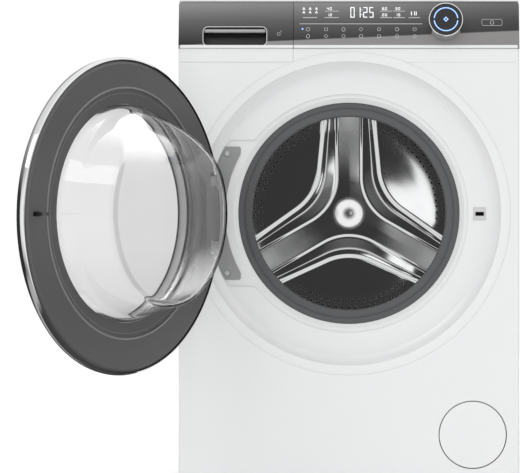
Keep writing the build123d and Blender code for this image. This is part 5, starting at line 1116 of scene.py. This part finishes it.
class WasherRubber(bpy.types.Operator):
    """Make the gasket, the two rubber hoses and the springs as still pieces on no body; the real ones give
    with the tub
    """
    bl_idname = "washer.rubber"
    bl_label = "Rubber"

    def execute(self, context):
        mesh = lathe(rounded(GASKET_PROFILE, 1.6, 4), on_drum, 224, closed=True, angle=60.0)
        piece = add_piece("gasket_rubber", mesh, "gasket_rubber", None, ("gasket",))
        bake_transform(piece)
        top, bottom = upright("fill_hose")
        radius = top.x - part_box("fill_hose")[0][0]
        piece = bellows("fill_hose_rubber", [(top, bottom)], radius, ("fill_hose",))
        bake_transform(piece)
        low, high = (Vector(corner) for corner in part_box("sump_hose"))
        radius = (high.y - low.y) / 2
        side = low.y + radius
        mouth = Vector((low.x + radius, side, high.z))
        corner = Vector((low.x + radius, side, low.z + radius))
        outlet = Vector((high.x, side, low.z + radius))
        down = (corner - mouth).normalized()
        away = (outlet - corner).normalized()
        centre = corner + (away - down) * HOSE_BEND
        turns = [pi * k / 20 for k in range(11)]
        arc = [centre + (down * sin(turn) - away * cos(turn)) * HOSE_BEND for turn in turns]
        legs = [(mouth, corner - down * HOSE_BEND), *zip(arc, arc[1:]), (corner + away * HOSE_BEND, outlet)]
        piece = bellows("sump_hose_rubber", legs, radius, ("sump_hose",))
        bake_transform(piece)
        coils = frame["nodes"]["suspension_springs"].data.copy()
        coils.materials.clear()
        hides = ("suspension_springs",)
        piece = add_piece("spring_coils", coils, "spring_steel", None, hides)
        top, bottom = upright("suspension_springs")
        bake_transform(piece)
        return {"FINISHED"}


# Stage: levels of the mirrored surroundings by height

SIDE_LEVELS = ((0.06, 0.05), (0.10, 0.45), (0.17, 0.45), (0.24, 0.03), (0.60, 0.03), (0.78, 0.35),
               (0.87, 0.75), (0.97, 0.8))
FLOOR_CORNERS = ((-3, -4.5, 0), (3, -4.5, 0), (3, 3, 0), (-3, 3, 0))
FACING_BACK = (radians(90), 0.0, 0.0)


class WasherStage(bpy.types.Operator):
    """Set the camera, the floor and the plain studio light"""
    bl_idname = "washer.stage"
    bl_label = "Stage"

    def camera(self, scene, s):
        """The photograph's view, square to the front."""
        lens = bpy.data.cameras.new("Camera")
        lens.lens = s.lens
        lens.sensor_width = 36.0
        lens.shift_x = s.shift_x
        lens.shift_y = s.shift_y
        lens.clip_end = 50.0
        camera = bpy.data.objects.new("Camera", lens)
        camera.location = (0.0, FRONT - s.distance, AXIS_Z)
        camera.rotation_euler = FACING_BACK
        scene.collection.objects.link(camera)
        scene.camera = camera
        scene.view_settings.view_transform = "Standard"
        scene.view_settings.look = "None"

    def world(self, scene, fill):
        """White to the eye, soft light on the object, and pale and dark fields in its mirrors."""
        world = bpy.data.worlds.new("Studio")
        scene.world = world
        world.use_nodes = True
        world.node_tree.nodes.clear()
        graph = Graph(world.node_tree)
        way = graph.split(graph.node("ShaderNodeTexCoord").outputs["Generated"])
        path = graph.node("ShaderNodeLightPath").outputs
        above = graph.ranged(way["Z"], 0.38, 0.60)
        canopy = graph.math("MULTIPLY", above, graph.ranged(way["Y"], -0.10, 0.25))
        feeds = {"Color": (1, 1, 1, 1), "Strength": graph.math("MULTIPLY_ADD", canopy, 5.0, 1.0)}
        white = graph.node("ShaderNodeBackground", feeds).outputs[0]
        ahead = graph.ranged(way["Y"], -0.9962, -0.9816, 0.045, 0.95)
        right = graph.ranged(way["Z"], -0.05, 0.45, 0.06, 0.95)
        stops = [(position, (level, level, level)) for position, level in SIDE_LEVELS]
        left = graph.ramp(graph.ranged(way["Z"], -1.0, 1.0), stops)
        sides = graph.blend(graph.ranged(way["X"], -0.1, -0.3), right, left)
        sky = graph.blend(graph.ranged(way["Y"], -0.75, -0.55), ahead, sides)
        mirror = graph.node("ShaderNodeBackground", {"Color": sky}).outputs[0]
        feeds = {"Color": graph.ranged(way["Z"], -0.6, 0.9, 0.66, 1.27), "Strength": fill}
        soft = graph.node("ShaderNodeBackground", feeds).outputs[0]
        feeds = {0: path["Is Glossy Ray"], 1: soft, 2: mirror}
        lit = graph.node("ShaderNodeMixShader", feeds).outputs[0]
        seen = graph.math("MAXIMUM", path["Is Camera Ray"], path["Is Transmission Ray"])
        both = graph.node("ShaderNodeMixShader", {0: seen, 1: lit, 2: white}).outputs[0]
        graph.node("ShaderNodeOutputWorld", {"Surface": both})

    def lamp(self, scene, name, width, height, energy, place):
        """A rectangular area lamp."""
        light = bpy.data.lights.new(name, "AREA")
        light.shape = "RECTANGLE"
        light.size = width
        light.size_y = height
        light.energy = energy
        lamp = bpy.data.objects.new(name, light)
        lamp.location = place
        scene.collection.objects.link(lamp)
        return lamp

    def floor(self, scene):
        """A pale floor that keeps the object's shadow."""
        mesh = bpy.data.meshes.new("Floor")
        mesh.from_pydata(FLOOR_CORNERS, [], [(0, 1, 2, 3)])
        ground = bpy.data.objects.new("Floor", mesh)
        scene.collection.objects.link(ground)
        pale = bpy.data.materials.new("Pale floor")
        pale.use_nodes = True
        shader = pale.node_tree.nodes["Principled BSDF"]
        for socket, value in (("Base Color", (0.85, 0.85, 0.85, 1)), ("Roughness", 0.8),
                              ("Emission Color", (1, 1, 1, 1)), ("Emission Strength", 0.30)):
            shader.inputs[socket].default_value = value
        mesh.materials.append(pale)
        ground.visible_glossy = False
        return ground

    def execute(self, context):
        scene = context.scene
        s = scene.washer_stage
        self.camera(scene, s)
        self.world(scene, s.fill)
        key = self.lamp(scene, "Key", 1.6, 1.2, 14.0, (-1.6, -2.6, 2.6))
        key.rotation_euler = (Vector((0, 0, 0.5)) - key.location).to_track_quat("-Z", "Y").to_euler()
        ground = self.floor(scene)
        card = self.lamp(scene, "Card", 0.19, 0.18, 0.14, (0.215, -3.8, AXIS_Z + 0.02))
        card.rotation_euler = FACING_BACK
        return {"FINISHED"}


class WasherPanel(bpy.types.Panel):
    """Buttons and settings of the washing machine's looks"""
    bl_idname = "VIEW3D_PT_washer"
    bl_label = "Washer"
    bl_space_type = "VIEW_3D"
    bl_region_type = "UI"
    bl_category = "Washer"

    def draw(self, context):
        for operator in OPERATORS:
            self.layout.operator(operator.bl_idname)
        for name, kind in SETTINGS.items():
            for setting in kind.__annotations__:
                self.layout.prop(getattr(context.scene, name), setting)


SETTINGS = {"washer_colours": WasherColourSettings, "washer_drum": WasherDrumSettings,
            "washer_stage": WasherStageSettings}
OPERATORS = (WasherFinishes, WasherDrumBack, WasherControls, WasherDoor, WasherRubber, WasherStage)
CLASSES = (*SETTINGS.values(), *OPERATORS, WasherPanel)


def register():
    for each in CLASSES:
        bpy.utils.register_class(each)
    for name, kind in SETTINGS.items():
        setattr(bpy.types.Scene, name, bpy.props.PointerProperty(type=kind))


def unregister():
    for name in SETTINGS:
        delattr(bpy.types.Scene, name)
    for each in reversed(CLASSES):
        bpy.utils.unregister_class(each)


def main():
    register()
    bpy.ops.washer.finishes()
    bpy.ops.washer.drum_back()
    bpy.ops.washer.controls()
    bpy.ops.washer.door()
    bpy.ops.washer.rubber()
    bpy.ops.washer.stage()
    bpy.context.view_layer.update()


if __name__ == "__main__":
    main()
